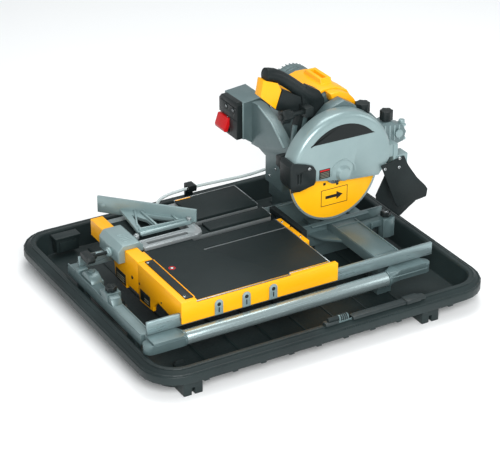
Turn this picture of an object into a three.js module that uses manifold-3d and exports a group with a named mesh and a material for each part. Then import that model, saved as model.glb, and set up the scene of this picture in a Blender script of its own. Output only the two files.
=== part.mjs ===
// Wet tile saw: a round blade in a tilting, plunging head held over a rolling cart, all in a water tray.
// Millimetres, +Z up, +X along the cart's travel away from the operator, +Y towards the motor column.
// Every size below is measured from the centre of the blade; the whole saw is moved at the end so that
// the origin is the middle of the saw's whole footprint, on the surface it stands on.
import * as THREE from 'three';
import { mergeVertices } from 'three/addons/utils/BufferGeometryUtils.js';
import Module from 'manifold-3d';

const wasm = await Module();
wasm.setup();

// ---- fits ----
const GAP = 0.3;                 // space left between pieces that touch
const RUN = 2;                   // running clearance between pieces that move past each other

// ---- blade and spindle ----
const BLADE_R = 127;
const BLADE_T = 2.4;
const ARBOR_R = 7.94;
const FLANGE_R = 28;
const FLANGE_T = 6.5;
const NUT_R = 13;
const NUT_T = 8;
const SPINDLE_PULLEY_R = 30;
const MOTOR_PULLEY_R = 15;
const PULLEY_Y = [30, 46];
const BELT_T = 4;

// ---- guard drum ----
const GUARD_X = 11;
const GUARD_Z = 15;
const GUARD_R = 147;
const GUARD_ROUND = 15;
const GUARD_FRONT = -23;
const GUARD_BACK = 22;
const GUARD_WALL = 4;

// ---- motor ----
const MOTOR_X = 42;
const MOTOR_Z = 114;
const MOTOR_R = 62;
const MOTOR_WALL = 6;
const MOTOR_FRONT = 90;
const MOTOR_BACK = 262;
const CAP_LENGTH = 40;
const SHAFT_R = 7;

// ---- drive case and its pivots ----
const CASE_Y = [26, 58];
const CASE_WALL = 8;
const PLUNGE_X = 205;
const PLUNGE_Z = 48;
const PLUNGE_PIN_R = 7;
const BEVEL_Y = 63;
const BEVEL_Z = 29;
const BEVEL_BOLT_R = 8;
const BEVEL_ARM_Y = [62, 100];

// ---- fixed arm and column ----
const FLANK_X = [-95, -70];
const ARM_BOTTOM = -70;
const ARM_BOX_X = -120;
const ARM_BOX_Y = [240, 334];
const ARM_BOX_Z = [19, 118];
const COLUMN_X = [12, 110];
const COLUMN_Y = [264, 335];

// ---- cart ----
const DECK_X = [-504, -138];
const DECK_Y = [-214, 256];
const DECK_Z = [-132, -120];
const MAT_TOP = -117;
const STRIP_TOP = -112;
const CART_LEFT = DECK_X[0] - 40;
const PANEL_Y = [-221, -215.7];
const PANEL_RIGHT = -124;
const PANEL_BOTTOM = -163;
const END_TOP = -107;
const FENCE_TOP = -105;
const FENCE_X = [CART_LEFT, DECK_X[0] - 7];
const SLOT_END = -365;
const SLOT_SQUARE = [-3, 3];
const SLOT_HALF_BEVEL = [50, 70];
const SLOT_FULL_BEVEL = [114, 136];

// ---- rails, tube and frame ----
const RAIL_X = [CART_LEFT - 83, 154];
const RAIL_T = 8;
const RAIL_Z = [-172, -140];
const RAIL_FRONT_Y = -211;
const RAIL_REAR_Y = 148;
const TUBE_R = 17.75;
const TUBE_Y = -235;
const TUBE_Z = -189;
const TUBE_X = [CART_LEFT - 1, 5];
const TUBE_BORE_R = 15;
const FRAME_BOTTOM = -200;
const CROSS_LEFT_X = [CART_LEFT - 96, CART_LEFT - 68];
const CROSS_RIGHT_X = [-5, 68];
const BEAM_X = [-84, 160];
const BEAM_Y = [20, 147.7];
const BEAM_TOP = -143;
const BEAM_BOTTOM = -205;
const BEAM_WALL = 6;
const POST_Y = -15;
const POST_TOP = -152;

// ---- rollers ----
const ROLLER_R = 8;
const ROLLER_W = 12;
const AXLE_R = 3;
const AXLE_L = 16;
const ROLLER_X = [-470, -175];

// ---- tray ----
const TRAY_X = [CROSS_LEFT_X[0] - 13, 220];
const TRAY_Y = [-331, 420];
const RIM_TOP = -200;
const TRAY_CORNER_R = 65;
const TRAY_FLOOR = -258;
const TRAY_WALL = 4;
const WALL_LEAN = 20;
const LIP_OUT = 25;
const LIP_BOTTOM = -232;
const FLOOR_UNDER = -270;

// ---- fence clamp and angle guide ----
const CLAMP_X = [CART_LEFT - 18, DECK_X[0] + 9];
const CLAMP_Y = [65, 170];
const CLAMP_Z = [-137, -92];
const GUIDE_TOP = -73;
const PIVOT_X = -341;
const PIVOT_Y = 121;
const GUIDE_NEAR = [-323, 115];
const GUIDE_FAR = [-500, 305];
const GUIDE_T = 6;
const BAR_Y = [58, 100];
const BAR_Z = [MAT_TOP + GAP, -108];

// ---- hose and pump ----
const HOSE_R = 4;
const PUMP_X = [-440, -380];
const PUMP_Y = [318, 368];
const PUMP_TOP = -208;

// ---- surface colours ----
const PAINT_YELLOW = { color: 0xf5ab0c, roughness: 0.45, metalness: 0.1 };
const BLACK_PLASTIC = { color: 0x1d2122, roughness: 0.7, metalness: 0 };
const TRAY_PLASTIC = { color: 0x23292a, roughness: 0.6, metalness: 0 };
const BLACK_RUBBER = { color: 0x262b2c, roughness: 0.85, metalness: 0 };
const CAST_GREY = { color: 0x6b7778, roughness: 0.5, metalness: 0.6 };
const LIGHT_GREY = { color: 0x9aabab, roughness: 0.45, metalness: 0.3 };
const BARE_STEEL = { color: 0xa9b3b5, roughness: 0.3, metalness: 0.9 };
const ALUMINIUM = { color: 0xb4bcbd, roughness: 0.35, metalness: 0.8 };
const RED_PLASTIC = { color: 0xd2141c, roughness: 0.4, metalness: 0 };
const CLEAR_HOSE = { color: 0xcfd8d8, roughness: 0.2, metalness: 0 };
const COPPER_IRON = { color: 0x7a5236, roughness: 0.5, metalness: 0.7 };

const group = new THREE.Group();
group.name = 'wet_tile_saw';

// ---------------------------------------------------------------- solids

function solid(geometry) {
  geometry.deleteAttribute('normal');
  geometry.deleteAttribute('uv');
  const merged = mergeVertices(geometry, 1e-4);
  const position = merged.attributes.position;
  const index = Array.from(merged.index.array);
  const a = new THREE.Vector3();
  const b = new THREE.Vector3();
  const c = new THREE.Vector3();
  let volume = 0;
  for (let i = 0; i < index.length; i += 3) {
    a.fromBufferAttribute(position, index[i]);
    b.fromBufferAttribute(position, index[i + 1]);
    c.fromBufferAttribute(position, index[i + 2]);
    volume += a.dot(b.cross(c));
  }
  if (volume < 0) index.reverse();
  const mesh = new wasm.Mesh({
    numProp: 3,
    vertProperties: new Float32Array(position.array),
    triVerts: new Uint32Array(index),
  });
  mesh.merge();
  return new wasm.Manifold(mesh);
}

function box([x0, x1], [y0, y1], [z0, z1]) {
  const geometry = new THREE.BoxGeometry(x1 - x0, y1 - y0, z1 - z0);
  geometry.translate((x0 + x1) / 2, (y0 + y1) / 2, (z0 + z1) / 2);
  return solid(geometry);
}

function extrude(points, depth) {
  const shape = new THREE.Shape(points.map(([u, v]) => new THREE.Vector2(u, v)));
  return new THREE.ExtrudeGeometry(shape, { depth, bevelEnabled: false, steps: 1 });
}

// outline in X and Z, thickness along Y
function prismY(points, [y0, y1]) {
  return solid(extrude(points, y1 - y0).rotateX(Math.PI / 2).translate(0, y1, 0));
}

// outline in Y and Z, thickness along X
function prismX(points, [x0, x1]) {
  const turn = new THREE.Matrix4().makeBasis(
    new THREE.Vector3(0, 1, 0), new THREE.Vector3(0, 0, 1), new THREE.Vector3(1, 0, 0));
  return solid(extrude(points, x1 - x0).applyMatrix4(turn).translate(x0, 0, 0));
}

// outline in X and Y, thickness along Z
function prismZ(points, [z0, z1]) {
  return solid(extrude(points, z1 - z0).translate(0, 0, z0));
}

function barAlong(axis, [u, v], radius, [from, to], sides = 24) {
  const geometry = new THREE.CylinderGeometry(radius, radius, to - from, sides);
  const middle = (from + to) / 2;
  if (axis === 'x') return solid(geometry.rotateZ(Math.PI / 2).translate(middle, u, v));
  if (axis === 'y') return solid(geometry.translate(u, middle, v));
  return solid(geometry.rotateX(Math.PI / 2).translate(u, v, middle));
}

// profile of [radius, y] pairs, turned about the line through x, z along Y
function turned(profile, x, z, sides = 36) {
  const points = profile.map(([r, y]) => new THREE.Vector2(r, y));
  return solid(new THREE.LatheGeometry(points, sides).translate(x, 0, z));
}

function ringProfile(inner, outer, [y0, y1]) {
  return [[inner, y0], [outer, y0], [outer, y1], [inner, y1], [inner, y0]];
}

function pipe(points, radius, steps, sides = 10) {
  const path = new THREE.CatmullRomCurve3(points.map((p) => new THREE.Vector3(...p)));
  const circle = new THREE.Shape();
  circle.absarc(0, 0, radius, 0, Math.PI * 2);
  const geometry = new THREE.ExtrudeGeometry(circle, {
    steps, extrudePath: path, bevelEnabled: false, curveSegments: sides / 2,
  });
  return solid(geometry);
}

function knobOutline(radius, lobes, depth) {
  const perLobe = 6;
  const points = [];
  for (let i = 0; i < lobes * perLobe; i += 1) {
    const angle = (i / (lobes * perLobe)) * Math.PI * 2;
    const r = radius - depth * (0.5 + 0.5 * Math.cos(angle * lobes));
    points.push([r * Math.cos(angle), r * Math.sin(angle)]);
  }
  return points;
}

function moved(points, u, v) {
  return points.map(([a, b]) => [a + u, b + v]);
}

function joined(parts) {
  return parts.reduce((sum, part) => sum.add(part));
}

function cut(body, tools) {
  return tools.reduce((rest, tool) => rest.subtract(tool), body);
}

const pieces = [];

function piece(name, body, look) {
  pieces.push({ name, body, look });
}

// ---------------------------------------------------------------- water tray

function roundedRing(offset, z) {
  const perCorner = 6;
  const radius = Math.max(TRAY_CORNER_R + offset, 8);
  const corners = [
    [TRAY_X[1] + offset - radius, TRAY_Y[1] + offset - radius, 0],
    [TRAY_X[0] - offset + radius, TRAY_Y[1] + offset - radius, 1],
    [TRAY_X[0] - offset + radius, TRAY_Y[0] - offset + radius, 2],
    [TRAY_X[1] + offset - radius, TRAY_Y[0] - offset + radius, 3],
  ];
  const ring = [];
  for (const [cx, cy, quarter] of corners) {
    for (let i = 0; i <= perCorner; i += 1) {
      const angle = (quarter + i / perCorner) * (Math.PI / 2);
      ring.push([cx + radius * Math.cos(angle), cy + radius * Math.sin(angle), z]);
    }
  }
  return ring;
}

function skinned(rings) {
  const count = rings[0].length;
  const vertices = rings.flat(2);
  const index = [];
  for (let r = 0; r < rings.length - 1; r += 1) {
    for (let i = 0; i < count; i += 1) {
      const j = (i + 1) % count;
      const a = r * count + i;
      const b = r * count + j;
      const c = (r + 1) * count + j;
      const d = (r + 1) * count + i;
      index.push(a, b, c, a, c, d);
    }
  }
  const last = (rings.length - 1) * count;
  for (let i = 1; i < count - 1; i += 1) {
    index.push(0, i + 1, i);
    index.push(last, last + i, last + i + 1);
  }
  const geometry = new THREE.BufferGeometry();
  geometry.setAttribute('position', new THREE.Float32BufferAttribute(vertices, 3));
  geometry.setIndex(index);
  return solid(geometry);
}

function waterTray() {
  const half = TRAY_WALL / 2;
  const shell = skinned([
    roundedRing(TRAY_WALL - WALL_LEAN, TRAY_FLOOR - TRAY_WALL),
    roundedRing(TRAY_WALL - 7, RIM_TOP - 8),
    roundedRing(LIP_OUT - 6, RIM_TOP - 16),
    roundedRing(LIP_OUT - 4, LIP_BOTTOM),
    roundedRing(LIP_OUT, LIP_BOTTOM),
    roundedRing(LIP_OUT, RIM_TOP - 12),
    roundedRing(4, RIM_TOP),
    roundedRing(-4, RIM_TOP),
    roundedRing(-8, RIM_TOP - 4),
    roundedRing(-WALL_LEAN, TRAY_FLOOR),
  ]);
  const footLength = 48;
  const footX = [TRAY_X[0] + 47, 38];
  const footY = [TRAY_Y[0] - 14, TRAY_Y[1] - 36];
  const feet = [];
  for (const x of footX) {
    for (const y of footY) {
      const block = box([x, x + footLength], [y, y + 50], [FLOOR_UNDER, RIM_TOP - 20]);
      const inside = skinned([
        roundedRing(half - WALL_LEAN, TRAY_FLOOR - half),
        roundedRing(half - 8, RIM_TOP - 4),
        roundedRing(half - 8, RIM_TOP + 8),
      ]);
      const notch = box([x + 20, x + 28], [y - 1, y + 12], [FLOOR_UNDER - 1, FLOOR_UNDER + 18]);
      feet.push(block.subtract(inside).subtract(notch));
    }
  }
  return joined([shell, ...feet]);
}

piece('water_tray', waterTray(), TRAY_PLASTIC);
piece('drain_plug', joined([
  barAlong('z', [-560, -235], 15, [TRAY_FLOOR + GAP, TRAY_FLOOR + 6]),
  box([-571, -549], [-237.5, -232.5], [TRAY_FLOOR + 5, TRAY_FLOOR + 14]),
]), BLACK_RUBBER);

const STRIP_X = [-158, 46];
piece('rim_strip', prismX([
  [TRAY_Y[0] - 16, RIM_TOP + GAP], [TRAY_Y[0] + 8, RIM_TOP + GAP],
  [TRAY_Y[0] + 5, RIM_TOP + 7], [TRAY_Y[0] - 14, RIM_TOP + 7],
], STRIP_X), TRAY_PLASTIC);
piece('rim_latch', joined([
  box([-228, STRIP_X[0] - RUN], [TRAY_Y[0] - 10, TRAY_Y[0] + 6], [RIM_TOP + GAP, RIM_TOP + 6]),
  barAlong('x', [TRAY_Y[0] - 2, RIM_TOP + 9], 8, [-194, -168]),
]), CAST_GREY);

// ---------------------------------------------------------------- pump and hose

const CLIP_X = [-195, -173];
const PUMP_OUTLET_YZ = [343, -222];
const PUMP_OUTLET_END = PUMP_X[1] + 10;
const HOSE_CLIP_AT = [-184, TRAY_Y[1] - 16, -171];
piece('pump', cut(joined([
  prismZ([
    [PUMP_X[0] + 8, PUMP_Y[0]], [PUMP_X[1] - 8, PUMP_Y[0]], [PUMP_X[1], PUMP_Y[0] + 8],
    [PUMP_X[1], PUMP_Y[1] - 8], [PUMP_X[1] - 8, PUMP_Y[1]], [PUMP_X[0] + 8, PUMP_Y[1]],
    [PUMP_X[0], PUMP_Y[1] - 8], [PUMP_X[0], PUMP_Y[0] + 8],
  ], [TRAY_FLOOR + GAP, PUMP_TOP]),
  barAlong('x', PUMP_OUTLET_YZ, 7, [PUMP_X[1] - 1, PUMP_OUTLET_END], 16),
]), [0, 1, 2, 3].map((i) => box(
  [PUMP_X[0] + 8 + i * 13, PUMP_X[0] + 13 + i * 13], [PUMP_Y[0] - 1, PUMP_Y[0] + 14],
  [TRAY_FLOOR + 3, TRAY_FLOOR + 9]))), BLACK_PLASTIC);
piece('hose_clip', cut(joined([
  box(CLIP_X, [TRAY_Y[1] - 4, TRAY_Y[1] + 4], [RIM_TOP + GAP, HOSE_CLIP_AT[2] + 8]),
  box(CLIP_X, [TRAY_Y[1] - 25, TRAY_Y[1] - 3], [HOSE_CLIP_AT[2] - 8, HOSE_CLIP_AT[2] + 8]),
]), [barAlong('x', [HOSE_CLIP_AT[1], HOSE_CLIP_AT[2]], HOSE_R + 3 * GAP, [CLIP_X[0] - 1, CLIP_X[1] + 1],
  16)]),
BLACK_PLASTIC);
const INLET_AT = [60, COLUMN_Y[1] + 12, -158];
piece('water_hose', pipe([
  [PUMP_OUTLET_END + 2 * GAP, ...PUMP_OUTLET_YZ], [-353, 343, -222], [-334, 348.5, -218], [-316, 363, -207],
  [-302, 382, -193], [-284, 396, -182], [-262, 402, -176], [-225, 404, -172.5], HOSE_CLIP_AT,
    [-140, 404, -171.5],
  [-90, 403, -173], [-40, 402, -174.5], [0, 402, -174], [23, 400, -171], [41, 395, -167.5],
    [54, 382.5, -163.5],
  [INLET_AT[0], 365, -160], [INLET_AT[0], 356, INLET_AT[2]], [INLET_AT[0], INLET_AT[1] + 2 * GAP,
    INLET_AT[2]],
], HOSE_R, 64), CLEAR_HOSE);

// ---------------------------------------------------------------- frame

const tubeMiddle = [TUBE_Y, TUBE_Z];
piece('front_tube', cut(barAlong('x', tubeMiddle, TUBE_R, TUBE_X, 32),
  [barAlong('x', tubeMiddle, TUBE_BORE_R, [TUBE_X[0] - 1, TUBE_X[1] + 1], 32)]), BARE_STEEL);

// a casting with a spigot in the tube's bore; it narrows from the tube to a foot that bolts to the rail
function tubeEnd(from, to, inward, front, narrowed) {
  const span = (x, y) => [Math.min(x, y), Math.max(x, y)];
  const footY = [front, RAIL_FRONT_Y + RAIL_T + 1];
  const footZ = [FRAME_BOTTOM, RAIL_Z[0] - GAP];
  const neckStart = barAlong('x', tubeMiddle, TUBE_R, span(from, from + inward), 32);
  const neckEnd = box(span(from + inward * narrowed, from + inward * (narrowed + 1)), footY, footZ);
  const foot = box(span(from + inward * narrowed, to), footY, footZ);
  const noseR = 18;
  const nose = barAlong('z', [to, front + noseR], noseR, [FRAME_BOTTOM, RAIL_Z[0] - 6], 24);
  const spigot = barAlong('x', tubeMiddle, TUBE_BORE_R - GAP, span(from + inward, from - inward * 30));
  const railClear = box(RAIL_X, [RAIL_FRONT_Y - GAP, RAIL_FRONT_Y + RAIL_T + GAP],
    [RAIL_Z[0] - GAP, RAIL_Z[1]]);
  return joined([wasm.Manifold.hull([neckStart, neckEnd]), foot, nose, spigot]).subtract(railClear);
}

piece('tube_end_left', tubeEnd(TUBE_X[0] - GAP, CROSS_LEFT_X[0] + 8, -1, TUBE_Y - TUBE_R, 12), CAST_GREY);
piece('tube_end_right', tubeEnd(TUBE_X[1] + GAP, 118, 1, TUBE_Y - 6, 36), CAST_GREY);
for (const [name, y] of [['front_rail', RAIL_FRONT_Y], ['rear_rail', RAIL_REAR_Y]]) {
  piece(name, box(RAIL_X, [y, y + RAIL_T], RAIL_Z), BARE_STEEL);
}

const crossTop = RAIL_Z[0] - GAP;
const crossFront = RAIL_FRONT_Y + RAIL_T + 1 + GAP;
const LEFT_POST_X = CROSS_LEFT_X[0] + 18;
const RIGHT_POST_X = 148;
const POST_SIZE = 32;
const legLeftX = [TRAY_X[0] + WALL_LEAN + 3, CROSS_LEFT_X[0] + 26];
const legZ = [TRAY_FLOOR + GAP, FRAME_BOTTOM + 1];
const postSocket = (x) => barAlong('z', [x, POST_Y], 4 + GAP, [POST_TOP - 16, POST_TOP + 1], 16);
const postY = [POST_Y - POST_SIZE / 2, POST_Y + POST_SIZE / 2];
piece('cross_member_left', cut(joined([
  prismX([
    [crossFront, FRAME_BOTTOM], [190, FRAME_BOTTOM], [190, crossTop - 8], [182, crossTop],
    [crossFront, crossTop],
  ], CROSS_LEFT_X),
  box([CROSS_LEFT_X[0], CROSS_LEFT_X[0] + 36], postY, [FRAME_BOTTOM, POST_TOP]),
  box(legLeftX, [-150, -110], legZ),
  box(legLeftX, [120, 160], legZ),
]), [postSocket(LEFT_POST_X)]), CAST_GREY);
piece('cross_member_right', cut(joined([
  box(CROSS_RIGHT_X, [RAIL_FRONT_Y + RAIL_T + GAP, BEAM_Y[0] - 12 - GAP], [RAIL_Z[0], RAIL_Z[1] - 6]),
  box(CROSS_RIGHT_X, [0, BEAM_Y[0] - GAP], [RAIL_Z[0], BEAM_TOP - 4 - GAP]),
  prismZ([[-60, BEAM_Y[0] - GAP], [-40, -20], [CROSS_RIGHT_X[0] + 1, -52],
    [CROSS_RIGHT_X[0] + 1, BEAM_Y[0] - GAP]],
    [RAIL_Z[0], RAIL_Z[0] + 6]),
  box([CROSS_RIGHT_X[1] - 1, RIGHT_POST_X], [POST_Y - 9, POST_Y + 9], [RAIL_Z[0], RAIL_Z[0] + 18]),
  box([RIGHT_POST_X - 17, RIGHT_POST_X + 17], postY, [BEAM_BOTTOM, POST_TOP]),
  box([12, 52], [-190, -150], [TRAY_FLOOR + GAP, RAIL_Z[0] + 1]),
]), [postSocket(RIGHT_POST_X)]), CAST_GREY);

piece('trough_beam', cut(joined([
  box(BEAM_X, BEAM_Y, [BEAM_BOTTOM, BEAM_TOP]),
  box([BEAM_X[0] + 30, BEAM_X[1] - 46], [BEAM_Y[0] - 12, BEAM_Y[0] + 1], [BEAM_TOP - 4, BEAM_TOP]),
  box([-20, 100], [50, 110], [TRAY_FLOOR + GAP, BEAM_BOTTOM + 1]),
]), [box([BEAM_X[0] - 1, BEAM_X[1] + 1], [BEAM_Y[0] + BEAM_WALL, BEAM_Y[1] - BEAM_WALL],
  [BEAM_BOTTOM + BEAM_WALL, BEAM_TOP + 1])]), CAST_GREY);
piece('trough_lip', cut(
  box([BEAM_X[0] - 15, BEAM_X[0] - GAP], [POST_Y, RAIL_REAR_Y - 5], [BEAM_BOTTOM + 20, DECK_Z[0] - RUN]),
  [box([BEAM_X[0] - 16, BEAM_X[0] + 1], [BEAM_Y[0] + 14, BEAM_Y[1] - 14],
    [BEAM_BOTTOM + 30, BEAM_TOP - 3])],
), BLACK_RUBBER);

for (const [name, x] of [['post_knob_left', LEFT_POST_X], ['post_knob_right', RIGHT_POST_X]]) {
  piece(name, joined([
    prismZ(moved(knobOutline(14, 6, 3), x, POST_Y), [POST_TOP + GAP, POST_TOP + 12]),
    barAlong('z', [x, POST_Y], 4, [POST_TOP - 14, POST_TOP + 1], 16),
  ]), BLACK_PLASTIC);
}

// ---------------------------------------------------------------- fixed arm, column and switch

piece('column_base', joined([
  box(COLUMN_X, [RAIL_REAR_Y + RAIL_T + GAP, COLUMN_Y[1]], [BEAM_BOTTOM, RAIL_Z[1] - 6]),
  box([COLUMN_X[0] + 10, COLUMN_X[1] - 10], [COLUMN_Y[0], COLUMN_Y[1]],
    [TRAY_FLOOR + GAP, BEAM_BOTTOM + 1]),
  barAlong('y', [INLET_AT[0], INLET_AT[2]], 8, [COLUMN_Y[1] - 1, INLET_AT[1]], 16),
]), CAST_GREY);

function fixedArm() {
  const flank = prismX([
    [BEVEL_Y + 25, 10], [BEVEL_Y + 17, -20], [92, ARM_BOTTOM], [171, ARM_BOTTOM], [171, -3], [206, 4],
    [ARM_BOX_Y[0] + 2, 0], [ARM_BOX_Y[0] + 2, 117], [206, 119], [142, 98], [103, 72], [75, 52],
    [BEVEL_Y - 20, 45], [BEVEL_Y - 15, 10],
  ], FLANK_X);
  const hub = barAlong('x', [BEVEL_Y, BEVEL_Z], 30, FLANK_X, 32);
  const beam = prismZ([
    [FLANK_X[0] + 1, 130], [FLANK_X[0] + 1, 171], [-44, ARM_BOX_Y[0] + 2], [8, COLUMN_Y[1] - 1],
    [COLUMN_X[1], COLUMN_Y[1] - 1], [COLUMN_X[1], COLUMN_Y[0]], [60, 200], [60, 130],
  ], [ARM_BOTTOM, -20]);
  const wellFloor = MOTOR_Z - MOTOR_R - 8;
  const wellSide = MOTOR_X - MOTOR_R - 16;
  const upper = prismY([
    [ARM_BOX_X, ARM_BOX_Z[0]], [-114, 18], [-78, -8], [-64, -17], [-52, -25], [-46, -40], [100, -40],
    [100, wellFloor], [wellSide, wellFloor], [wellSide - 6, 108], [wellSide - 24, 124],
    [ARM_BOX_X, ARM_BOX_Z[1]],
  ], ARM_BOX_Y);
  const column = box(COLUMN_X, COLUMN_Y, [RAIL_Z[1] - 6 + GAP, ARM_BOTTOM + 1]);
  const bolt = barAlong('x', [BEVEL_Y, BEVEL_Z], BEVEL_BOLT_R + GAP, [FLANK_X[0] - 1, FLANK_X[1] + 1]);
  return joined([flank, hub, beam, upper, column]).subtract(bolt);
}

piece('fixed_arm', fixedArm(), CAST_GREY);

const SWITCH_X = [ARM_BOX_X - 17, ARM_BOX_X - GAP];
const PADDLE_Y = [282, 332];
const PADDLE_HINGE_Z = 62;
piece('switch_housing', cut(prismX([
  [ARM_BOX_Y[0], ARM_BOX_Z[0] + 4], [ARM_BOX_Y[0] + 4, ARM_BOX_Z[0]], [ARM_BOX_Y[1] - 24, ARM_BOX_Z[0]],
  [ARM_BOX_Y[1], ARM_BOX_Z[0] + 22], [ARM_BOX_Y[1], ARM_BOX_Z[1] - 12], [ARM_BOX_Y[1] - 12, ARM_BOX_Z[1]],
  [ARM_BOX_Y[0] + 6, ARM_BOX_Z[1] + 3], [ARM_BOX_Y[0], ARM_BOX_Z[1] - 4],
], SWITCH_X), [
  box([SWITCH_X[0] - 1, SWITCH_X[0] + 9], [PADDLE_Y[0] - RUN, PADDLE_Y[1] + RUN + 1],
    [26, PADDLE_HINGE_Z + 6]),
  ...[262, 296].map((y) => barAlong('x', [y, 94], 7, [SWITCH_X[0] - 1, SWITCH_X[0] + 8], 16)),
]), BLACK_PLASTIC);
piece('switch_paddle', prismY([
  [SWITCH_X[0] + 6, PADDLE_HINGE_Z + 3], [SWITCH_X[0] - 5, PADDLE_HINGE_Z + 3], [SWITCH_X[0] - 15, 36],
  [SWITCH_X[0] - 13, 28], [SWITCH_X[0] - 4, 28], [SWITCH_X[0] + 6, PADDLE_HINGE_Z - 6],
], PADDLE_Y), RED_PLASTIC);

// ---------------------------------------------------------------- rolling cart

const SLOTS = [SLOT_SQUARE, SLOT_HALF_BEVEL, SLOT_FULL_BEVEL];
const railMiddles = [RAIL_FRONT_Y + RAIL_T / 2, RAIL_REAR_Y + RAIL_T / 2];
const rollerZ = RAIL_Z[1] + GAP + ROLLER_R;
const rollerSpots = railMiddles.flatMap((y) => ROLLER_X.map((x) => [x, y]));

piece('deck_plate', cut(box(DECK_X, DECK_Y, DECK_Z), [
  ...SLOTS.map((slot) => box([SLOT_END, DECK_X[1] + 1], slot, [DECK_Z[0] - 1, DECK_Z[1] + 1])),
  ...rollerSpots.map(([x, y]) => box([x - ROLLER_R - RUN, x + ROLLER_R + RUN],
    [y - ROLLER_W / 2 - 1, y + ROLLER_W / 2 + 1], [DECK_Z[0] - 1, rollerZ + ROLLER_R + 1])),
  ...rollerSpots.map(([x, y]) => barAlong('y', [x, rollerZ], AXLE_R + GAP, [y, y + AXLE_L + GAP], 16)),
  ...rollerSpots.map(([x, y]) => box([x - AXLE_R - GAP, x + AXLE_R + GAP], [y, y + AXLE_L + GAP],
    [DECK_Z[0] - 1, rollerZ])),
]), ALUMINIUM);
rollerSpots.forEach(([x, y], i) => {
  piece(`roller_${i + 1}`, joined([
    barAlong('y', [x, rollerZ], ROLLER_R, [y - ROLLER_W / 2, y + ROLLER_W / 2]),
    barAlong('y', [x, rollerZ], AXLE_R, [y, y + AXLE_L], 16),
  ]), BARE_STEEL);
});

const matZ = [DECK_Z[1] + GAP, MAT_TOP];
const matEdge = 1;
const stripLeft = -310;
piece('deck_mat', cut(prismZ([
  [DECK_X[0] + matEdge, DECK_Y[0] + matEdge], [-253, DECK_Y[0] + matEdge], [-253, DECK_Y[0] + 8],
  [DECK_X[1] - matEdge, DECK_Y[0] + 8], [DECK_X[1] - matEdge, SLOT_HALF_BEVEL[0] - matEdge],
  [stripLeft - matEdge, SLOT_HALF_BEVEL[0] - matEdge], [stripLeft - matEdge, SLOT_FULL_BEVEL[1] + matEdge],
  [stripLeft - matEdge, DECK_Y[1] - 25], [DECK_X[0] + matEdge, DECK_Y[1] - 25],
], matZ), SLOTS.map(([y0, y1]) => box([SLOT_END - matEdge, DECK_X[1] + 1], [y0 - matEdge, y1 + matEdge],
  [matZ[0] - 1, matZ[1] + 1]))), BLACK_RUBBER);
piece('deck_strip', box([stripLeft, DECK_X[1] - matEdge],
  [SLOT_HALF_BEVEL[1] + matEdge, SLOT_FULL_BEVEL[0] - matEdge], [matZ[0], STRIP_TOP]), BLACK_RUBBER);
piece('deck_panel_rear', box([stripLeft, DECK_X[1] - matEdge],
  [SLOT_FULL_BEVEL[1] + matEdge, DECK_Y[1] - matEdge], [matZ[0], STRIP_TOP]), BLACK_RUBBER);

function railNotch(y) {
  return box([CART_LEFT - 1, DECK_X[0]], [y - RUN, y + RAIL_T + RUN], [PANEL_BOTTOM, RAIL_Z[1] + RUN]);
}

// the end wall hangs as a stepped apron between the rails
const APRON_X = [CART_LEFT, CART_LEFT + 8];
const apronTop = PANEL_BOTTOM + 15;
const apronFront = [
  [-0.5, apronTop], [-0.5, -191], [-6, -193], [-8, -206], [-76, -201], [-78, -188], [-102, -165],
  [-172, -170], [-186, -180], [-196, -180], [-199, -163], [-199, apronTop],
];
const apronRear = [[0, apronTop], [0, -191], [62, -192], [63, -206], [121, -203], [131, -152],
  [131, apronTop]];

piece('cart_frame', joined([
  prismX(apronFront, APRON_X),
  box([CART_LEFT, PANEL_RIGHT], PANEL_Y, [PANEL_BOTTOM, MAT_TOP]),
  box([-251, PANEL_RIGHT], [PANEL_Y[0], DECK_Y[0] + 7], [DECK_Z[1] + GAP, MAT_TOP]),
  prismY([
    [CART_LEFT, PANEL_BOTTOM + 14], [CART_LEFT + 8, PANEL_BOTTOM + 14], [DECK_X[0] - GAP, DECK_Z[0]],
    [DECK_X[0] - GAP, END_TOP], [CART_LEFT, END_TOP],
  ], [PANEL_Y[0], -0.5]),
]).subtract(railNotch(RAIL_FRONT_Y)), PAINT_YELLOW);
piece('end_strip', box([CART_LEFT + 16, DECK_X[0] - 3], [PANEL_Y[0] + 11, -6],
  [END_TOP + GAP, END_TOP + 2.5]), BLACK_PLASTIC);
piece('fence_bar', joined([
  prismX(apronRear, APRON_X),
  box(FENCE_X, [0, DECK_Y[1]], [PANEL_BOTTOM + 14, FENCE_TOP]),
  box([CART_LEFT + 4, DECK_X[0] - GAP], [0, CLAMP_Y[0] - 22], [DECK_Z[0], END_TOP]),
]).subtract(railNotch(RAIL_REAR_Y)), PAINT_YELLOW);
piece('edge_bracket', cut(
  box([DECK_X[1] + GAP, DECK_X[1] + 16], [-87, SLOT_HALF_BEVEL[0] - matEdge], [DECK_Z[0], MAT_TOP - 1]),
  [box([DECK_X[1], DECK_X[1] + 17], [SLOT_SQUARE[0] - 1, SLOT_SQUARE[1] + 1], [DECK_Z[0] + 3, MAT_TOP])],
), PAINT_YELLOW);

// ---------------------------------------------------------------- fence clamp and angle guide

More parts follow.
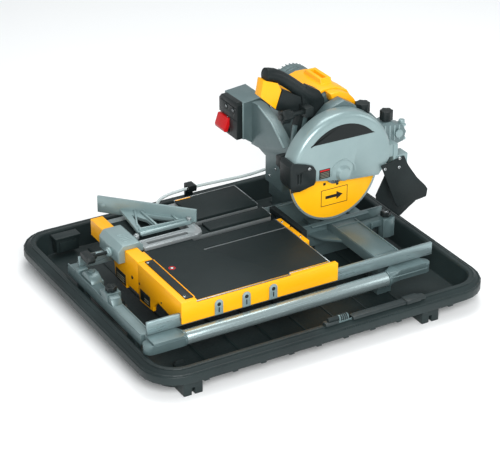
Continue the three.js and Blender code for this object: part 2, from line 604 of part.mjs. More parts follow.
const clampLegRight = FENCE_X[1] + GAP;
piece('clamp_body', cut(prismY([
  [CLAMP_X[0], CLAMP_Z[0]], [CART_LEFT - GAP, CLAMP_Z[0]], [CART_LEFT - GAP, FENCE_TOP + GAP],
  [clampLegRight, FENCE_TOP + GAP], [clampLegRight, MAT_TOP + GAP], [CLAMP_X[1], MAT_TOP + GAP],
  [CLAMP_X[1], CLAMP_Z[1] - 10], [CLAMP_X[1] - 10, CLAMP_Z[1]], [CLAMP_X[0] + 12, CLAMP_Z[1]],
  [CLAMP_X[0], CLAMP_Z[1] - 14],
], CLAMP_Y), [barAlong('x', [108, -122], 4 + GAP, [CLAMP_X[0] - 1, CART_LEFT], 16)]), LIGHT_GREY);
piece('clamp_knob', joined([
  barAlong('x', [108, -122], 4, [CART_LEFT - 70, CART_LEFT - 2 * GAP], 16),
  barAlong('x', [108, -122], 8, [CART_LEFT - 70, CART_LEFT - 58], 16),
  prismX([[88, -130], [128, -130], [132, -122], [128, -114], [88, -114], [84, -122]],
    [CART_LEFT - 88, CART_LEFT - 69]),
]), BLACK_PLASTIC);

piece('guide_bar', joined([
  cut(prismZ([
    [CLAMP_X[1] + GAP, BAR_Y[0]], [-352, BAR_Y[0]], [-334, BAR_Y[0] + 10], [-329, BAR_Y[0] + 26],
    [-329, PIVOT_Y], [PIVOT_X + 2, PIVOT_Y + 10], [-352, PIVOT_Y], [-352, BAR_Y[1]],
      [CLAMP_X[1] + GAP, BAR_Y[1]],
  ], BAR_Z), [box([CLAMP_X[1] + 17, -368], [BAR_Y[0] + 15, BAR_Y[0] + 27], [BAR_Z[0] - 1, BAR_Z[1] + 1])]),
  barAlong('z', [PIVOT_X, PIVOT_Y], AXLE_R, [BAR_Z[1] - 1, BAR_Z[1] + 12], 16),
  barAlong('z', [PIVOT_X, PIVOT_Y], 6, [BAR_Z[1] + 9 + GAP, BAR_Z[1] + 14], 16),
]), ALUMINIUM);

function anglePlate() {
  const along = new THREE.Vector2(GUIDE_NEAR[0] - GUIDE_FAR[0], GUIDE_NEAR[1] - GUIDE_FAR[1]).normalize();
  const aside = new THREE.Vector2(-along.y, along.x).multiplyScalar(GUIDE_T / 2);
  const corner = ([x, y], sign) => [x + sign * aside.x, y + sign * aside.y];
  const webZ = [BAR_Z[1] + 1, BAR_Z[1] + 9];
  const wall = prismZ([corner(GUIDE_FAR, 1), corner(GUIDE_FAR, -1), corner(GUIDE_NEAR, -1),
    corner(GUIDE_NEAR, 1)],
    [MAT_TOP + GAP, GUIDE_TOP]);
  const clearBoss = barAlong('z', [PIVOT_X, PIVOT_Y], 24, [MAT_TOP - 1, BAR_Z[1] + 0.8]);
  const web = prismZ([[-478, 126], [-474, 114], [PIVOT_X, PIVOT_Y - 8], [-331, 118], [-331, 124],
    [-452, 254], [-462, 262]], webZ);
  const windows = [
    prismZ([[-462, 140], [-430, 136], [-430, 172], [-452, 215]], [webZ[0] - 1, webZ[1] + 1]),
    prismZ([[-418, 136], [-372, 132], [-372, 148], [-418, 196]], [webZ[0] - 1, webZ[1] + 1]),
  ];
  const roll = barAlong('x', [PIVOT_Y - 3, webZ[0] + 5], 5, [-477, PIVOT_X - 8], 12);
  const pinHole = barAlong('z', [PIVOT_X, PIVOT_Y], AXLE_R + GAP, [webZ[0] - 1, webZ[1] + 1], 16);
  return cut(joined([cut(wall, [clearBoss]), cut(web, windows), roll]), [pinHole]);
}

piece('angle_guide', anglePlate(), LIGHT_GREY);

// ---------------------------------------------------------------- bevel arm

const armTop = MOTOR_Z - MOTOR_R - 6;
piece('bevel_arm', cut(joined([
  prismY([
    [-66, -10], [150, -12], [PLUNGE_X + 5, 22], [PLUNGE_X + 20, 40], [PLUNGE_X + 18, 60], [PLUNGE_X, 67],
    [PLUNGE_X - 22, 62], [130, armTop], [-66, armTop],
  ], BEVEL_ARM_Y),
  barAlong('x', [BEVEL_Y, BEVEL_Z], 26, [-66, -50], 32),
]), [
  barAlong('x', [BEVEL_Y, BEVEL_Z], BEVEL_BOLT_R + GAP, [-67, -44]),
  barAlong('y', [PLUNGE_X, PLUNGE_Z], PLUNGE_PIN_R + GAP, [BEVEL_ARM_Y[0] - 1, BEVEL_ARM_Y[1] + 1]),
]), CAST_GREY);
piece('bevel_knob', joined([
  prismX(moved(knobOutline(21, 5, 5), BEVEL_Y, BEVEL_Z), [FLANK_X[0] - 24, FLANK_X[0] - 1]),
  barAlong('x', [BEVEL_Y, BEVEL_Z], BEVEL_BOLT_R, [FLANK_X[0] - 2, -46]),
]), BLACK_PLASTIC);
piece('plunge_pin', barAlong('y', [PLUNGE_X, PLUNGE_Z], PLUNGE_PIN_R,
  [CASE_Y[0] - 4, BEVEL_ARM_Y[1] + 4]), BARE_STEEL);

// ---------------------------------------------------------------- drive case, belt and motor

function beltOutline(spindleRadius, motorRadius) {
  const length = Math.hypot(MOTOR_X, MOTOR_Z);
  const lean = Math.atan2(MOTOR_Z, MOTOR_X);
  const spread = Math.acos((spindleRadius - motorRadius) / length);
  const arcSteps = 12;
  const points = [];
  for (let i = 0; i <= arcSteps; i += 1) {
    const angle = lean + spread + (i / arcSteps) * (2 * Math.PI - 2 * spread);
    points.push([spindleRadius * Math.cos(angle), spindleRadius * Math.sin(angle)]);
  }
  for (let i = 0; i <= arcSteps; i += 1) {
    const angle = lean - spread + (i / arcSteps) * (2 * spread);
    points.push([MOTOR_X + motorRadius * Math.cos(angle), MOTOR_Z + motorRadius * Math.sin(angle)]);
  }
  return points;
}

const KNOB_STEM_R = 4;
const DEPTH_KNOB_AT = [106, 42];
const LOCK_KNOB_AT = [178, 42];
const depthKnobSeat = 121;
const lockKnobSeat = 84;
const neckX = 52;

function driveCase() {
  const outline = [
    [-20, -38], [40, -42], [110, -22], [150, -4], [185, 16], [PLUNGE_X + 16, 24], [PLUNGE_X + 24, 48],
    [PLUNGE_X + 12, 68], [PLUNGE_X - 12, 76], [LOCK_KNOB_AT[0] + 8, lockKnobSeat],
      [LOCK_KNOB_AT[0] - 22, lockKnobSeat],
    [DEPTH_KNOB_AT[0] + 16, depthKnobSeat], [DEPTH_KNOB_AT[0] - 20, depthKnobSeat], [76, 152], [42, 172],
    [5, 160], [-28, 130], [-36, 90], [-36, -14],
  ];
  const pocket = prismY(beltOutline(SPINDLE_PULLEY_R + BELT_T + RUN, MOTOR_PULLEY_R + BELT_T + RUN),
    [CASE_Y[0] - 1, CASE_Y[1] - CASE_WALL]);
  const neck = barAlong('y', [neckX, MOTOR_Z - 2], 38, [CASE_Y[1] - 1, MOTOR_FRONT - GAP], 32);
  return cut(joined([prismY(outline, CASE_Y), neck]), [
    pocket,
    barAlong('y', [0, 0], ARBOR_R + GAP, [CASE_Y[1] - CASE_WALL - 1, CASE_Y[1] + 1]),
    barAlong('y', [MOTOR_X, MOTOR_Z], SHAFT_R + 2 * GAP, [CASE_Y[1] - CASE_WALL - 1, MOTOR_FRONT + 1]),
    barAlong('y', [PLUNGE_X, PLUNGE_Z], PLUNGE_PIN_R + GAP, [CASE_Y[0] - 1, CASE_Y[1] + 1]),
    barAlong('z', DEPTH_KNOB_AT, KNOB_STEM_R + GAP, [depthKnobSeat - 20, depthKnobSeat + 1], 16),
    barAlong('z', LOCK_KNOB_AT, KNOB_STEM_R + GAP, [lockKnobSeat - 20, lockKnobSeat + 1], 16),
  ]);
}

piece('drive_case', driveCase(), CAST_GREY);
piece('drive_belt', cut(prismY(beltOutline(SPINDLE_PULLEY_R + GAP + BELT_T,
  MOTOR_PULLEY_R + GAP + BELT_T), [32, 44]),
  [prismY(beltOutline(SPINDLE_PULLEY_R + GAP, MOTOR_PULLEY_R + GAP), [31, 45])]), BLACK_RUBBER);
piece('depth_stop_knob', joined([
  prismZ(moved(knobOutline(19, 7, 3), ...DEPTH_KNOB_AT), [depthKnobSeat + 1, depthKnobSeat + 26]),
  barAlong('z', DEPTH_KNOB_AT, KNOB_STEM_R, [depthKnobSeat - 18, depthKnobSeat + 2], 16),
]), BLACK_PLASTIC);
piece('plunge_lock_knob', joined([
  prismZ(moved(knobOutline(17, 6, 3), ...LOCK_KNOB_AT), [lockKnobSeat + 1, lockKnobSeat + 27]),
  barAlong('z', LOCK_KNOB_AT, KNOB_STEM_R, [lockKnobSeat - 18, lockKnobSeat + 2], 16),
]), BLACK_PLASTIC);

const motorBore = MOTOR_R - MOTOR_WALL;
piece('motor_housing', turned([
  [SHAFT_R + 2, MOTOR_FRONT], [MOTOR_R - 8, MOTOR_FRONT], [MOTOR_R, MOTOR_FRONT + 8], [MOTOR_R, MOTOR_BACK],
  [motorBore, MOTOR_BACK], [motorBore, MOTOR_FRONT + 8], [SHAFT_R + 2, MOTOR_FRONT + 8],
    [SHAFT_R + 2, MOTOR_FRONT],
], MOTOR_X, MOTOR_Z, 40), CAST_GREY);
const capEnd = MOTOR_BACK + CAP_LENGTH;
const ventSlots = [-36, -24, -12, 0, 12, 24, 36].map((dz) => box(
  [MOTOR_X + 12 + Math.abs(dz) / 6, MOTOR_X + 46 - Math.abs(dz) / 3], [capEnd - 8, capEnd + 1],
  [MOTOR_Z + dz - 2.5, MOTOR_Z + dz + 2.5]));
piece('motor_end_cap', cut(turned([
  [SHAFT_R + GAP, capEnd - 5], [motorBore - 16, capEnd - 5], [motorBore - 2, capEnd - 20],
  [motorBore, MOTOR_BACK + GAP], [MOTOR_R, MOTOR_BACK + GAP], [MOTOR_R, capEnd - 20],
  [MOTOR_R - 14, capEnd], [SHAFT_R + GAP, capEnd], [SHAFT_R + GAP, capEnd - 5],
], MOTOR_X, MOTOR_Z, 40), ventSlots), CAST_GREY);
piece('motor_stator', turned(ringProfile(38, motorBore - GAP, [112, 200]), MOTOR_X, MOTOR_Z), COPPER_IRON);
piece('motor_armature', turned([
  [0, PULLEY_Y[0]], [MOTOR_PULLEY_R, PULLEY_Y[0]], [MOTOR_PULLEY_R, PULLEY_Y[1]], [SHAFT_R, PULLEY_Y[1]],
    [SHAFT_R, 114], [36, 114], [36, 198], [SHAFT_R, 198],
  [SHAFT_R, 220], [50, 220], [50, 236], [SHAFT_R, 236], [SHAFT_R, capEnd - 6], [0, capEnd - 6],
], MOTOR_X, MOTOR_Z), COPPER_IRON);
// the cover's outline stands off the can: [degrees about the motor's axis, height over the can]
const COVER_Y = [MOTOR_FRONT + 1, 228];
const COVER_RISE = [
  [168, 5.5], [151, 13], [131, 14.5], [105, 7.5], [75, 6.5], [46, 10], [20, 8.5], [-7, 5], [-7, -0.5],
];
const BUMP_X = [MOTOR_X - 8, MOTOR_X + 24];
const BUMP_TOP = MOTOR_Z + MOTOR_R + 17;
const bumpFoot = BUMP_TOP - 21;
const slantRight = MOTOR_X + MOTOR_R + 8;
const coverSlant = prismZ([
  [slantRight, COVER_Y[0] - 3], [slantRight + 18, COVER_Y[0] - 3], [slantRight + 18, COVER_Y[1] + 2],
  [slantRight - 58, COVER_Y[1] + 2],
], [MOTOR_Z - 14, BUMP_TOP]);
const coverOutline = COVER_RISE.map(([degrees, rise]) => {
  const angle = degrees * (Math.PI / 180);
  return [MOTOR_X + (MOTOR_R + rise) * Math.cos(angle), MOTOR_Z + (MOTOR_R + rise) * Math.sin(angle)];
});
piece('motor_cover', cut(joined([
  prismY([...coverOutline, [MOTOR_X, MOTOR_Z + MOTOR_R / 2]], COVER_Y),
  prismX([[118, bumpFoot], [126, BUMP_TOP], [198, BUMP_TOP], [212, bumpFoot]], BUMP_X),
]), [
  barAlong('y', [MOTOR_X, MOTOR_Z], MOTOR_R + GAP, [COVER_Y[0] - 1, COVER_Y[1] + 1], 40),
  box([BUMP_X[0] + 10, BUMP_X[1] - 10], [132, 192], [BUMP_TOP - 11, BUMP_TOP + 1]),
  coverSlant,
]), PAINT_YELLOW);

// ---------------------------------------------------------------- handle

const HANDLE_Y = [60.5, 88];
const handleMiddle = (HANDLE_Y[0] + HANDLE_Y[1]) / 2;
const GRIP_R = 16.4;
const gripPath = [[-155, handleMiddle, 265], [-134, handleMiddle, 260], [-105, handleMiddle, 243],
  [-65, handleMiddle, 211], [-28, handleMiddle, 178]];
const gripSteps = 14;
const STAR_AT = [41, 160];
piece('handle', joined([
  pipe(gripPath, GRIP_R, gripSteps, 16),
  prismY([
    [-58, 196], [-36, 212], [-8, 196], [6, 172], [8, 108], [-14, 94], [-40, 104], [-52, 136],
  ], HANDLE_Y),
  prismY([[-111.5, 219], [-60, 190], [-50, 140], [-96, 152], [-131.5, 172]],
    [HANDLE_Y[0] + 2, HANDLE_Y[1] - 3]),
  box([-66, -44], [STAR_AT[0] - 12, HANDLE_Y[0] + 1], [STAR_AT[1] - 12, STAR_AT[1] + 12]),
]).subtract(barAlong('x', STAR_AT, 6 + GAP, [-67, -43], 16)), BLACK_PLASTIC);
piece('handle_cover', cut(prismY([
  [-166, 256], [-126, 240], [-116, 221], [-132, 174], [-174, 214],
], HANDLE_Y), [pipe(gripPath, GRIP_R + 1, gripSteps, 16)]), PAINT_YELLOW);
piece('star_knob', joined([
  prismX(moved(knobOutline(19, 5, 5), ...STAR_AT), [-128, -106]),
  barAlong('x', STAR_AT, 6, [-107, -40], 16),
]), BLACK_PLASTIC);

// ---------------------------------------------------------------- blade and spindle

const flangeNear = BLADE_T / 2 + GAP;
const nutFront = -flangeNear - FLANGE_T;
piece('spindle', turned([
  [0, nutFront - 9], [ARBOR_R, nutFront - 9], [ARBOR_R, flangeNear], [FLANGE_R, flangeNear],
  [FLANGE_R, flangeNear + FLANGE_T], [ARBOR_R, flangeNear + FLANGE_T], [ARBOR_R, PULLEY_Y[0]],
  [SPINDLE_PULLEY_R, PULLEY_Y[0]], [SPINDLE_PULLEY_R, PULLEY_Y[1]], [ARBOR_R, PULLEY_Y[1]],
  [ARBOR_R, CASE_Y[1] + 2], [0, CASE_Y[1] + 2],
], 0, 0), BARE_STEEL);
piece('blade', turned(ringProfile(ARBOR_R + GAP, BLADE_R, [-BLADE_T / 2, BLADE_T / 2]), 0, 0, 72),
  PAINT_YELLOW);
piece('outer_flange', joined([
  barAlong('y', [0, 0], FLANGE_R, [nutFront, -flangeNear], 36),
  barAlong('y', [0, 0], NUT_R, [nutFront - NUT_T, nutFront + 1], 6),
]).subtract(barAlong('y', [0, 0], ARBOR_R + GAP, [nutFront - NUT_T - 1, 0])), BARE_STEEL);

// ---------------------------------------------------------------- guard and splash flaps

const belowGuard = prismY([
  [-220, -220], [-220, 22], [-120, 10], [-67, 0], [35, -19], [117, -26], [164, 34], [220, 34], [220, -220],
], [GUARD_FRONT - 30, GUARD_BACK + 10]);

const FLAP_EAR_X = [GUARD_X + GUARD_R + 1.5, 202];
const EAR_BACK = 10.5;

function bladeGuard() {
  const round = [];
  const roundSteps = 5;
  for (let i = 0; i <= roundSteps; i += 1) {
    const angle = (i / roundSteps) * (Math.PI / 2);
    round.push([
      GUARD_R - GUARD_ROUND + GUARD_ROUND * Math.sin(angle),
      GUARD_FRONT + GUARD_ROUND - GUARD_ROUND * Math.cos(angle),
    ]);
  }
  const drum = turned([[0, GUARD_FRONT], ...round, [GUARD_R, GUARD_BACK], [0, GUARD_BACK]], GUARD_X,
    GUARD_Z, 72);
  const hollow = turned([
    [0, GUARD_FRONT + GUARD_WALL], [GUARD_R - GUARD_ROUND, GUARD_FRONT + GUARD_WALL],
    [GUARD_R - GUARD_WALL, GUARD_FRONT + GUARD_ROUND], [GUARD_R - GUARD_WALL, GUARD_BACK - GUARD_WALL],
    [0, GUARD_BACK - GUARD_WALL],
  ], GUARD_X, GUARD_Z, 72);
  const dome = turned([[0, GUARD_FRONT - 9], [16, GUARD_FRONT - 9], [22, GUARD_FRONT + 1],
    [0, GUARD_FRONT + 1]], 12, 3);
  const spindleHole = barAlong('y', [0, 0], ARBOR_R + 4, [GUARD_BACK - GUARD_WALL - 1, GUARD_BACK + 1]);
  const ear = box(FLAP_EAR_X, [GUARD_FRONT, EAR_BACK], [-18, 14]);
  const web = box([GUARD_X + GUARD_R - 12, FLAP_EAR_X[0] + 1], [GUARD_FRONT + 2, 6], [14, 46]);
  const shell = cut(joined([drum, dome]), [belowGuard]);
  return cut(joined([shell, ear, box([FLAP_EAR_X[0], 172], [GUARD_FRONT, EAR_BACK], [13, 46]), web]),
    [hollow, spindleHole]);
}

piece('blade_guard', bladeGuard(), LIGHT_GREY);

const drumClear = barAlong('y', [GUARD_X, GUARD_Z], GUARD_R + 2 * GAP,
  [GUARD_FRONT - GAP, GUARD_BACK + 20], 72);
piece('front_shield', cut(prismY([
  [-144, 56], [-138, 66], [-98, 54], [-78, 46], [-70, 32], [-71, 2], [-76, -5], [-118, -14], [-138, -6],
    [-144, 8],
], [GUARD_FRONT - 8, GUARD_BACK - 3]), [drumClear, ...[-124, -116].map((x) => box([x, x + 4], [-40, -26],
  [8, 34]))]),
BLACK_PLASTIC);
const FLAP_REACH = 266;
piece('flap_front', prismY([
  [122, -3], [190, 10], [203, -18], [232, -60], [258, -88], [FLAP_REACH, -100], [263, -121], [177, -131],
    [168, -118],
], [GUARD_FRONT - 4, GUARD_FRONT - GAP]), BLACK_RUBBER);
piece('flap_rear', prismY([
  [166, 10], [200, 10], [226, -50], [262, -140], [256, -150], [236, -162], [212, -179], [205, -178],
  [136, -114], [134, -104], [166, -40],
], [EAR_BACK + GAP, EAR_BACK + 3 + GAP]), BLACK_RUBBER);

// ---------------------------------------------------------------- move to the row's frame

const shiftX = -(TRAY_X[0] - LIP_OUT + FLAP_REACH) / 2;
const shiftY = -(TRAY_Y[0] + TRAY_Y[1]) / 2;
for (const { name, body, look } of pieces) {
  const mesh = body.getMesh();
  const geometry = new THREE.BufferGeometry();
  geometry.setAttribute('position', new THREE.BufferAttribute(new Float32Array(mesh.vertProperties), 3));
  geometry.setIndex(new THREE.BufferAttribute(new Uint32Array(mesh.triVerts), 1));
  geometry.translate(shiftX, shiftY, -FLOOR_UNDER);
  geometry.computeVertexNormals();
  const node = new THREE.Mesh(geometry, new THREE.MeshStandardMaterial(look));
  node.name = name;
  group.add(node);
}

export default group;
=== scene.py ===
import math

import bpy
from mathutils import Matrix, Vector


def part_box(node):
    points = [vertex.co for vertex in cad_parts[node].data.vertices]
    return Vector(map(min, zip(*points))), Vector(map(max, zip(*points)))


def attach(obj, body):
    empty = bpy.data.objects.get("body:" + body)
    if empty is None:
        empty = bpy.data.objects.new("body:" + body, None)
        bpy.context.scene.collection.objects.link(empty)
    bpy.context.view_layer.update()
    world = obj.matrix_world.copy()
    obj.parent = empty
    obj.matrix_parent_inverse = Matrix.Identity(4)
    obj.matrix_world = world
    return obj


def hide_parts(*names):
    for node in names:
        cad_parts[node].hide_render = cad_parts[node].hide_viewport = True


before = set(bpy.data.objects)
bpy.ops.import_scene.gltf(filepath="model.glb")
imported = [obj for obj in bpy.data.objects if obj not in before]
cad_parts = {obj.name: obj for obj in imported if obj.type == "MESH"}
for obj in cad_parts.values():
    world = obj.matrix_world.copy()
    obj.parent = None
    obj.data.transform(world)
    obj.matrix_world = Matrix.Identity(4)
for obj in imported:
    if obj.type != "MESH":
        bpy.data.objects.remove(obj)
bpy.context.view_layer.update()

# ---------------------------------------------------------------- camera and studio
# The saw stands on a plain white floor and is seen from its front left, a little from above.
# Places below are written in millimetres from the middle of the blade.

blade_low, blade_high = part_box("blade")
HUB = (blade_low + blade_high) / 2
MM = 0.001


def at(x, y, z):
    """A place given in millimetres from the middle of the blade."""
    return HUB + Vector((x, y, z)) * MM


def deselect():
    bpy.ops.object.select_all(action="DESELECT")


def active(obj):
    deselect()
    obj.select_set(True)
    bpy.context.view_layer.objects.active = obj


camera_data = bpy.data.cameras.new("camera")
camera_data.sensor_width = 36
camera_data.lens = 134.57
camera = bpy.data.objects.new("camera", camera_data)
camera.location = at(-2239, -3484, 2006)
camera.rotation_euler = (math.radians(62.5), 0, math.radians(-29.87))
bpy.context.scene.collection.objects.link(camera)
bpy.context.scene.camera = camera
bpy.context.scene.view_settings.view_transform = "Standard"
bpy.context.scene.view_settings.look = "None"

world = bpy.data.worlds.new("studio")
world.use_nodes = True
world.node_tree.nodes["Background"].inputs["Color"].default_value = (0.95, 0.98, 1.0, 1)
world.node_tree.nodes["Background"].inputs["Strength"].default_value = 0.55
bpy.context.scene.world = world

for label, place, aim, size, power in (
    ("key light", (-1200, -2500, 1500), (-100, 0, -50), 1.5, 92),
    ("top light", (300, 700, 2600), (-100, 0, -100), 1.8, 46),
    ("side light", (2300, -1200, 900), (0, 0, -50), 1.2, 12),
):
    light_data = bpy.data.lights.new(label, "AREA")
    light_data.size = size
    light_data.energy = power
    light = bpy.data.objects.new(label, light_data)
    light.location = at(*place)
    light.rotation_euler = (at(*aim) - light.location).to_track_quat("-Z", "Y").to_euler()
    bpy.context.scene.collection.objects.link(light)

deselect()
bpy.ops.mesh.primitive_plane_add(size=14, location=(0, 2, -0.0005))
floor = bpy.context.object
floor.name = "floor"
floor_paint = bpy.data.materials.new("floor white")
floor_paint.use_nodes = True
floor_paint.node_tree.nodes["Principled BSDF"].inputs["Base Color"].default_value = (0.93, 0.94, 0.94, 1)
floor_paint.node_tree.nodes["Principled BSDF"].inputs["Roughness"].default_value = 0.9
floor.data.materials.append(floor_paint)

# ---------------------------------------------------------------- water hose
# A clear vinyl hose, 8 mm across, runs from the pump's side outlet up over the tray's back rim,
# through a clip, and along the rim to the inlet on the column. Held at three places, it sags a little.

HOSE_D = 0.008
HOSE_ROUTE = (
    (-369.4, 343, -222), (-353, 343, -222), (-334, 348.5, -218), (-316, 363, -207), (-302, 382, -193),
    (-284, 396, -182), (-262, 402, -176), (-225, 404, -172.5), (-184, 404, -171), (-140, 404, -171.5),
    (-90, 403, -173), (-40, 402, -174.5), (0, 402, -174), (23, 400, -171), (41, 395, -167.5),
    (54, 382.5, -163.5), (60, 365, -160), (60, 356, -158), (60, 347.6, -158),
)


def finish(name, colour, second, roughness, spread=0.07, metallic=0.0, coat=0.0, cloud=0.12,
           grain=0.0012, depth=0.25, stretch=(1, 1, 1), dust=0.0, dust_colour=(0.5, 0.52, 0.5), shine=0.5):
    """A finish whose colour drifts between two shades, with fine grain and, on worn pieces, dried dust."""
    material = bpy.data.materials.new(name)
    material.use_nodes = True
    nodes, links = material.node_tree.nodes, material.node_tree.links
    shader = nodes["Principled BSDF"]
    shader.inputs["Metallic"].default_value = metallic
    shader.inputs["Coat Weight"].default_value = coat
    shader.inputs["Specular IOR Level"].default_value = shine
    shader.inputs["Coat Roughness"].default_value = 0.12
    place = nodes.new("ShaderNodeTexCoord")
    turn = nodes.new("ShaderNodeMapping")
    turn.inputs["Scale"].default_value = stretch
    links.new(place.outputs["Object"], turn.inputs["Vector"])

    def noise(scale, detail):
        node = nodes.new("ShaderNodeTexNoise")
        node.inputs["Scale"].default_value = scale
        node.inputs["Detail"].default_value = detail
        links.new(turn.outputs["Vector"], node.inputs["Vector"])
        return node.outputs["Fac"]

    def between(source, low, high, start, end):
        node = nodes.new("ShaderNodeMapRange")
        node.inputs["From Min"].default_value = low
        node.inputs["From Max"].default_value = high
        node.inputs["To Min"].default_value = start
        node.inputs["To Max"].default_value = end
        links.new(source, node.inputs["Value"])
        return node.outputs["Result"]

    def blend(factor, first, other):
        node = nodes.new("ShaderNodeMix")
        node.data_type = "RGBA"
        links.new(factor, node.inputs["Factor"])
        for socket, value in (("A", first), ("B", other)):
            if isinstance(value, tuple):
                node.inputs[socket].default_value = (*value, 1)
            else:
                links.new(value, node.inputs[socket])
        return node.outputs["Result"]

    tint = blend(between(noise(1 / cloud, 5), 0.35, 0.65, 0, 1), colour, second)
    if dust:
        specks = between(noise(3.2 / cloud, 9), 0.56, 0.74, 0, dust)
        tint = blend(specks, tint, dust_colour)
    links.new(tint, shader.inputs["Base Color"])
    gloss = between(noise(0.35 / grain, 3), 0.3, 0.7, roughness - spread, roughness + spread)
    links.new(gloss, shader.inputs["Roughness"])
    bump = nodes.new("ShaderNodeBump")
    bump.inputs["Strength"].default_value = depth
    bump.inputs["Distance"].default_value = 0.0004
    links.new(noise(1 / grain, 2), bump.inputs["Height"])
    links.new(bump.outputs["Normal"], shader.inputs["Normal"])
    return material


hose_vinyl = finish("clear vinyl", (0.72, 0.8, 0.8), (0.62, 0.71, 0.7), 0.16, 0.05, grain=0.003, depth=0.05)
hose_vinyl.node_tree.nodes["Principled BSDF"].inputs["Transmission Weight"].default_value = 0.35
hose_vinyl.node_tree.nodes["Principled BSDF"].inputs["IOR"].default_value = 1.4

hose_line = bpy.data.curves.new("hose", "CURVE")
hose_line.dimensions = "3D"
hose_line.bevel_depth = HOSE_D / 2
hose_line.bevel_resolution = 5
hose_line.resolution_u = 8
spline = hose_line.splines.new("BEZIER")
spline.bezier_points.add(len(HOSE_ROUTE) - 1)
for point, place in zip(spline.bezier_points, HOSE_ROUTE):
    point.co = at(*place)
    point.handle_left_type = point.handle_right_type = "AUTO"
hose = bpy.data.objects.new("hose", hose_line)
bpy.context.scene.collection.objects.link(hose)
hose_line.materials.append(hose_vinyl)
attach(hose, "base")
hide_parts("water_hose")

# ---------------------------------------------------------------- water tray
# One vacuum-formed black tray with a rolled rim and four hollow feet. Fine pebble grain, faint wipe
# marks, and a line of short ribs along the front lip. A rubber plug closes the drain.

TRAY_GRAIN = 0.0016


def dressed(node, body, material, edge=0.8, smooth=35, keep_angle=30, segments=2):
    """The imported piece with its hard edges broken, as moulded, cast or deburred pieces have."""
    copy = bpy.data.objects.new(node + "_skin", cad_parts[node].data.copy())
    bpy.context.scene.collection.objects.link(copy)
    active(copy)
    bpy.ops.object.mode_set(mode="EDIT")
    bpy.ops.mesh.select_all(action="SELECT")
    bpy.ops.mesh.remove_doubles(threshold=0.00001)
    bpy.ops.mesh.dissolve_limited(angle_limit=math.radians(0.5))
    bpy.ops.object.mode_set(mode="OBJECT")
    if edge:
        broken = copy.modifiers.new("edges", "BEVEL")
        broken.width = edge * MM
        broken.segments = segments
        broken.limit_method = "ANGLE"
        broken.angle_limit = math.radians(keep_angle)
        bpy.ops.object.modifier_apply(modifier="edges")
    bpy.ops.object.shade_smooth_by_angle(angle=math.radians(smooth))
    copy.data.materials.clear()
    copy.data.materials.append(material)
    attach(copy, body)
    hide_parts(node)
    return copy


def settle(obj, name, body, material):
    """Puts a shaped piece's place into its mesh, names it and fixes it to its body."""
    active(obj)
    if obj.type != "MESH":
        bpy.ops.object.convert(target="MESH")
        obj = bpy.context.object
    bpy.ops.object.transform_apply(location=True, rotation=True, scale=True)
    obj.name = name
    obj.data.materials.clear()
    obj.data.materials.append(material)
    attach(obj, body)
    return obj


def rounded(obj, edge, segments=2, angle=30):
    active(obj)
    bpy.ops.object.transform_apply(location=True, rotation=True, scale=True)
    if not edge:
        bpy.ops.object.shade_smooth_by_angle(angle=math.radians(35))
        return obj
    broken = obj.modifiers.new("edges", "BEVEL")
    broken.width = edge * MM
    broken.segments = segments
    broken.limit_method = "ANGLE"
    broken.angle_limit = math.radians(angle)
    bpy.ops.object.modifier_apply(modifier="edges")
    bpy.ops.object.shade_smooth_by_angle(angle=math.radians(35))
    return obj


def block(low, high, edge=0.8, turn=(0, 0, 0)):
    """A block between two corners, its edges rounded; turned about its own middle if asked."""
    deselect()
    low, high = at(*low), at(*high)
    bpy.ops.mesh.primitive_cube_add(size=1, location=(low + high) / 2, rotation=[math.radians(a) for a in turn])
    obj = bpy.context.object
    obj.scale = high - low
    return rounded(obj, edge)


def rod(start, end, radius, sides=24, edge=0.5, tip=None):
    """A round bar from one point to another, with broken ends; tip is its radius at the far end."""
    deselect()
    start, end = at(*start), at(*end)
    run = end - start
    bpy.ops.mesh.primitive_cone_add(
        vertices=sides, radius1=radius * MM, radius2=(radius if tip is None else tip) * MM,
        depth=run.length, location=(start + end) / 2, rotation=run.to_track_quat("Z", "Y").to_euler())
    return rounded(bpy.context.object, edge)


def plate(outline, axis, span, edge=0.5):
    """A flat piece cut to an outline; axis is the direction of its thickness."""
    deselect()
    bpy.ops.mesh.primitive_circle_add(vertices=len(outline), fill_type="NGON")
    obj = bpy.context.object
    for vertex, (u, v) in zip(obj.data.vertices, outline):
        vertex.co = {"x": at(span[0], u, v), "y": at(u, span[0], v), "z": at(u, v, span[0])}[axis]
    bpy.ops.object.mode_set(mode="EDIT")
    bpy.ops.mesh.select_all(action="SELECT")
    reach = (span[1] - span[0]) * MM
    move = {"x": (reach, 0, 0), "y": (0, reach, 0), "z": (0, 0, reach)}[axis]
    bpy.ops.mesh.extrude_region_move(TRANSFORM_OT_translate={"value": move})
    bpy.ops.mesh.select_all(action="SELECT")
    bpy.ops.mesh.normals_make_consistent(inside=False)
    bpy.ops.object.mode_set(mode="OBJECT")
    return rounded(obj, edge) if edge else obj


def together(pieces, name, body, material, slot):
    """Joins like pieces into one object."""
    deselect()
    for obj in pieces:
        obj.select_set(True)
    bpy.context.view_layer.objects.active = pieces[0]
    bpy.ops.object.join()
    return settle(bpy.context.object, name, body, material)


tray_plastic = finish("tray plastic", (0.0105, 0.017, 0.0175), (0.0165, 0.0265, 0.027), 0.42, 0.07, cloud=0.16,
                      grain=TRAY_GRAIN, depth=0.35, dust=0.12, dust_colour=(0.03, 0.045, 0.045), shine=0.24)
dressed("water_tray", "base", tray_plastic, edge=3.2, smooth=40, keep_angle=25, segments=3)
rubber = finish("black rubber", (0.0095, 0.0145, 0.015), (0.015, 0.022, 0.0225), 0.6, 0.08, grain=0.0009, depth=0.4,
                shine=0.2)
dressed("drain_plug", "base", rubber, edge=1)

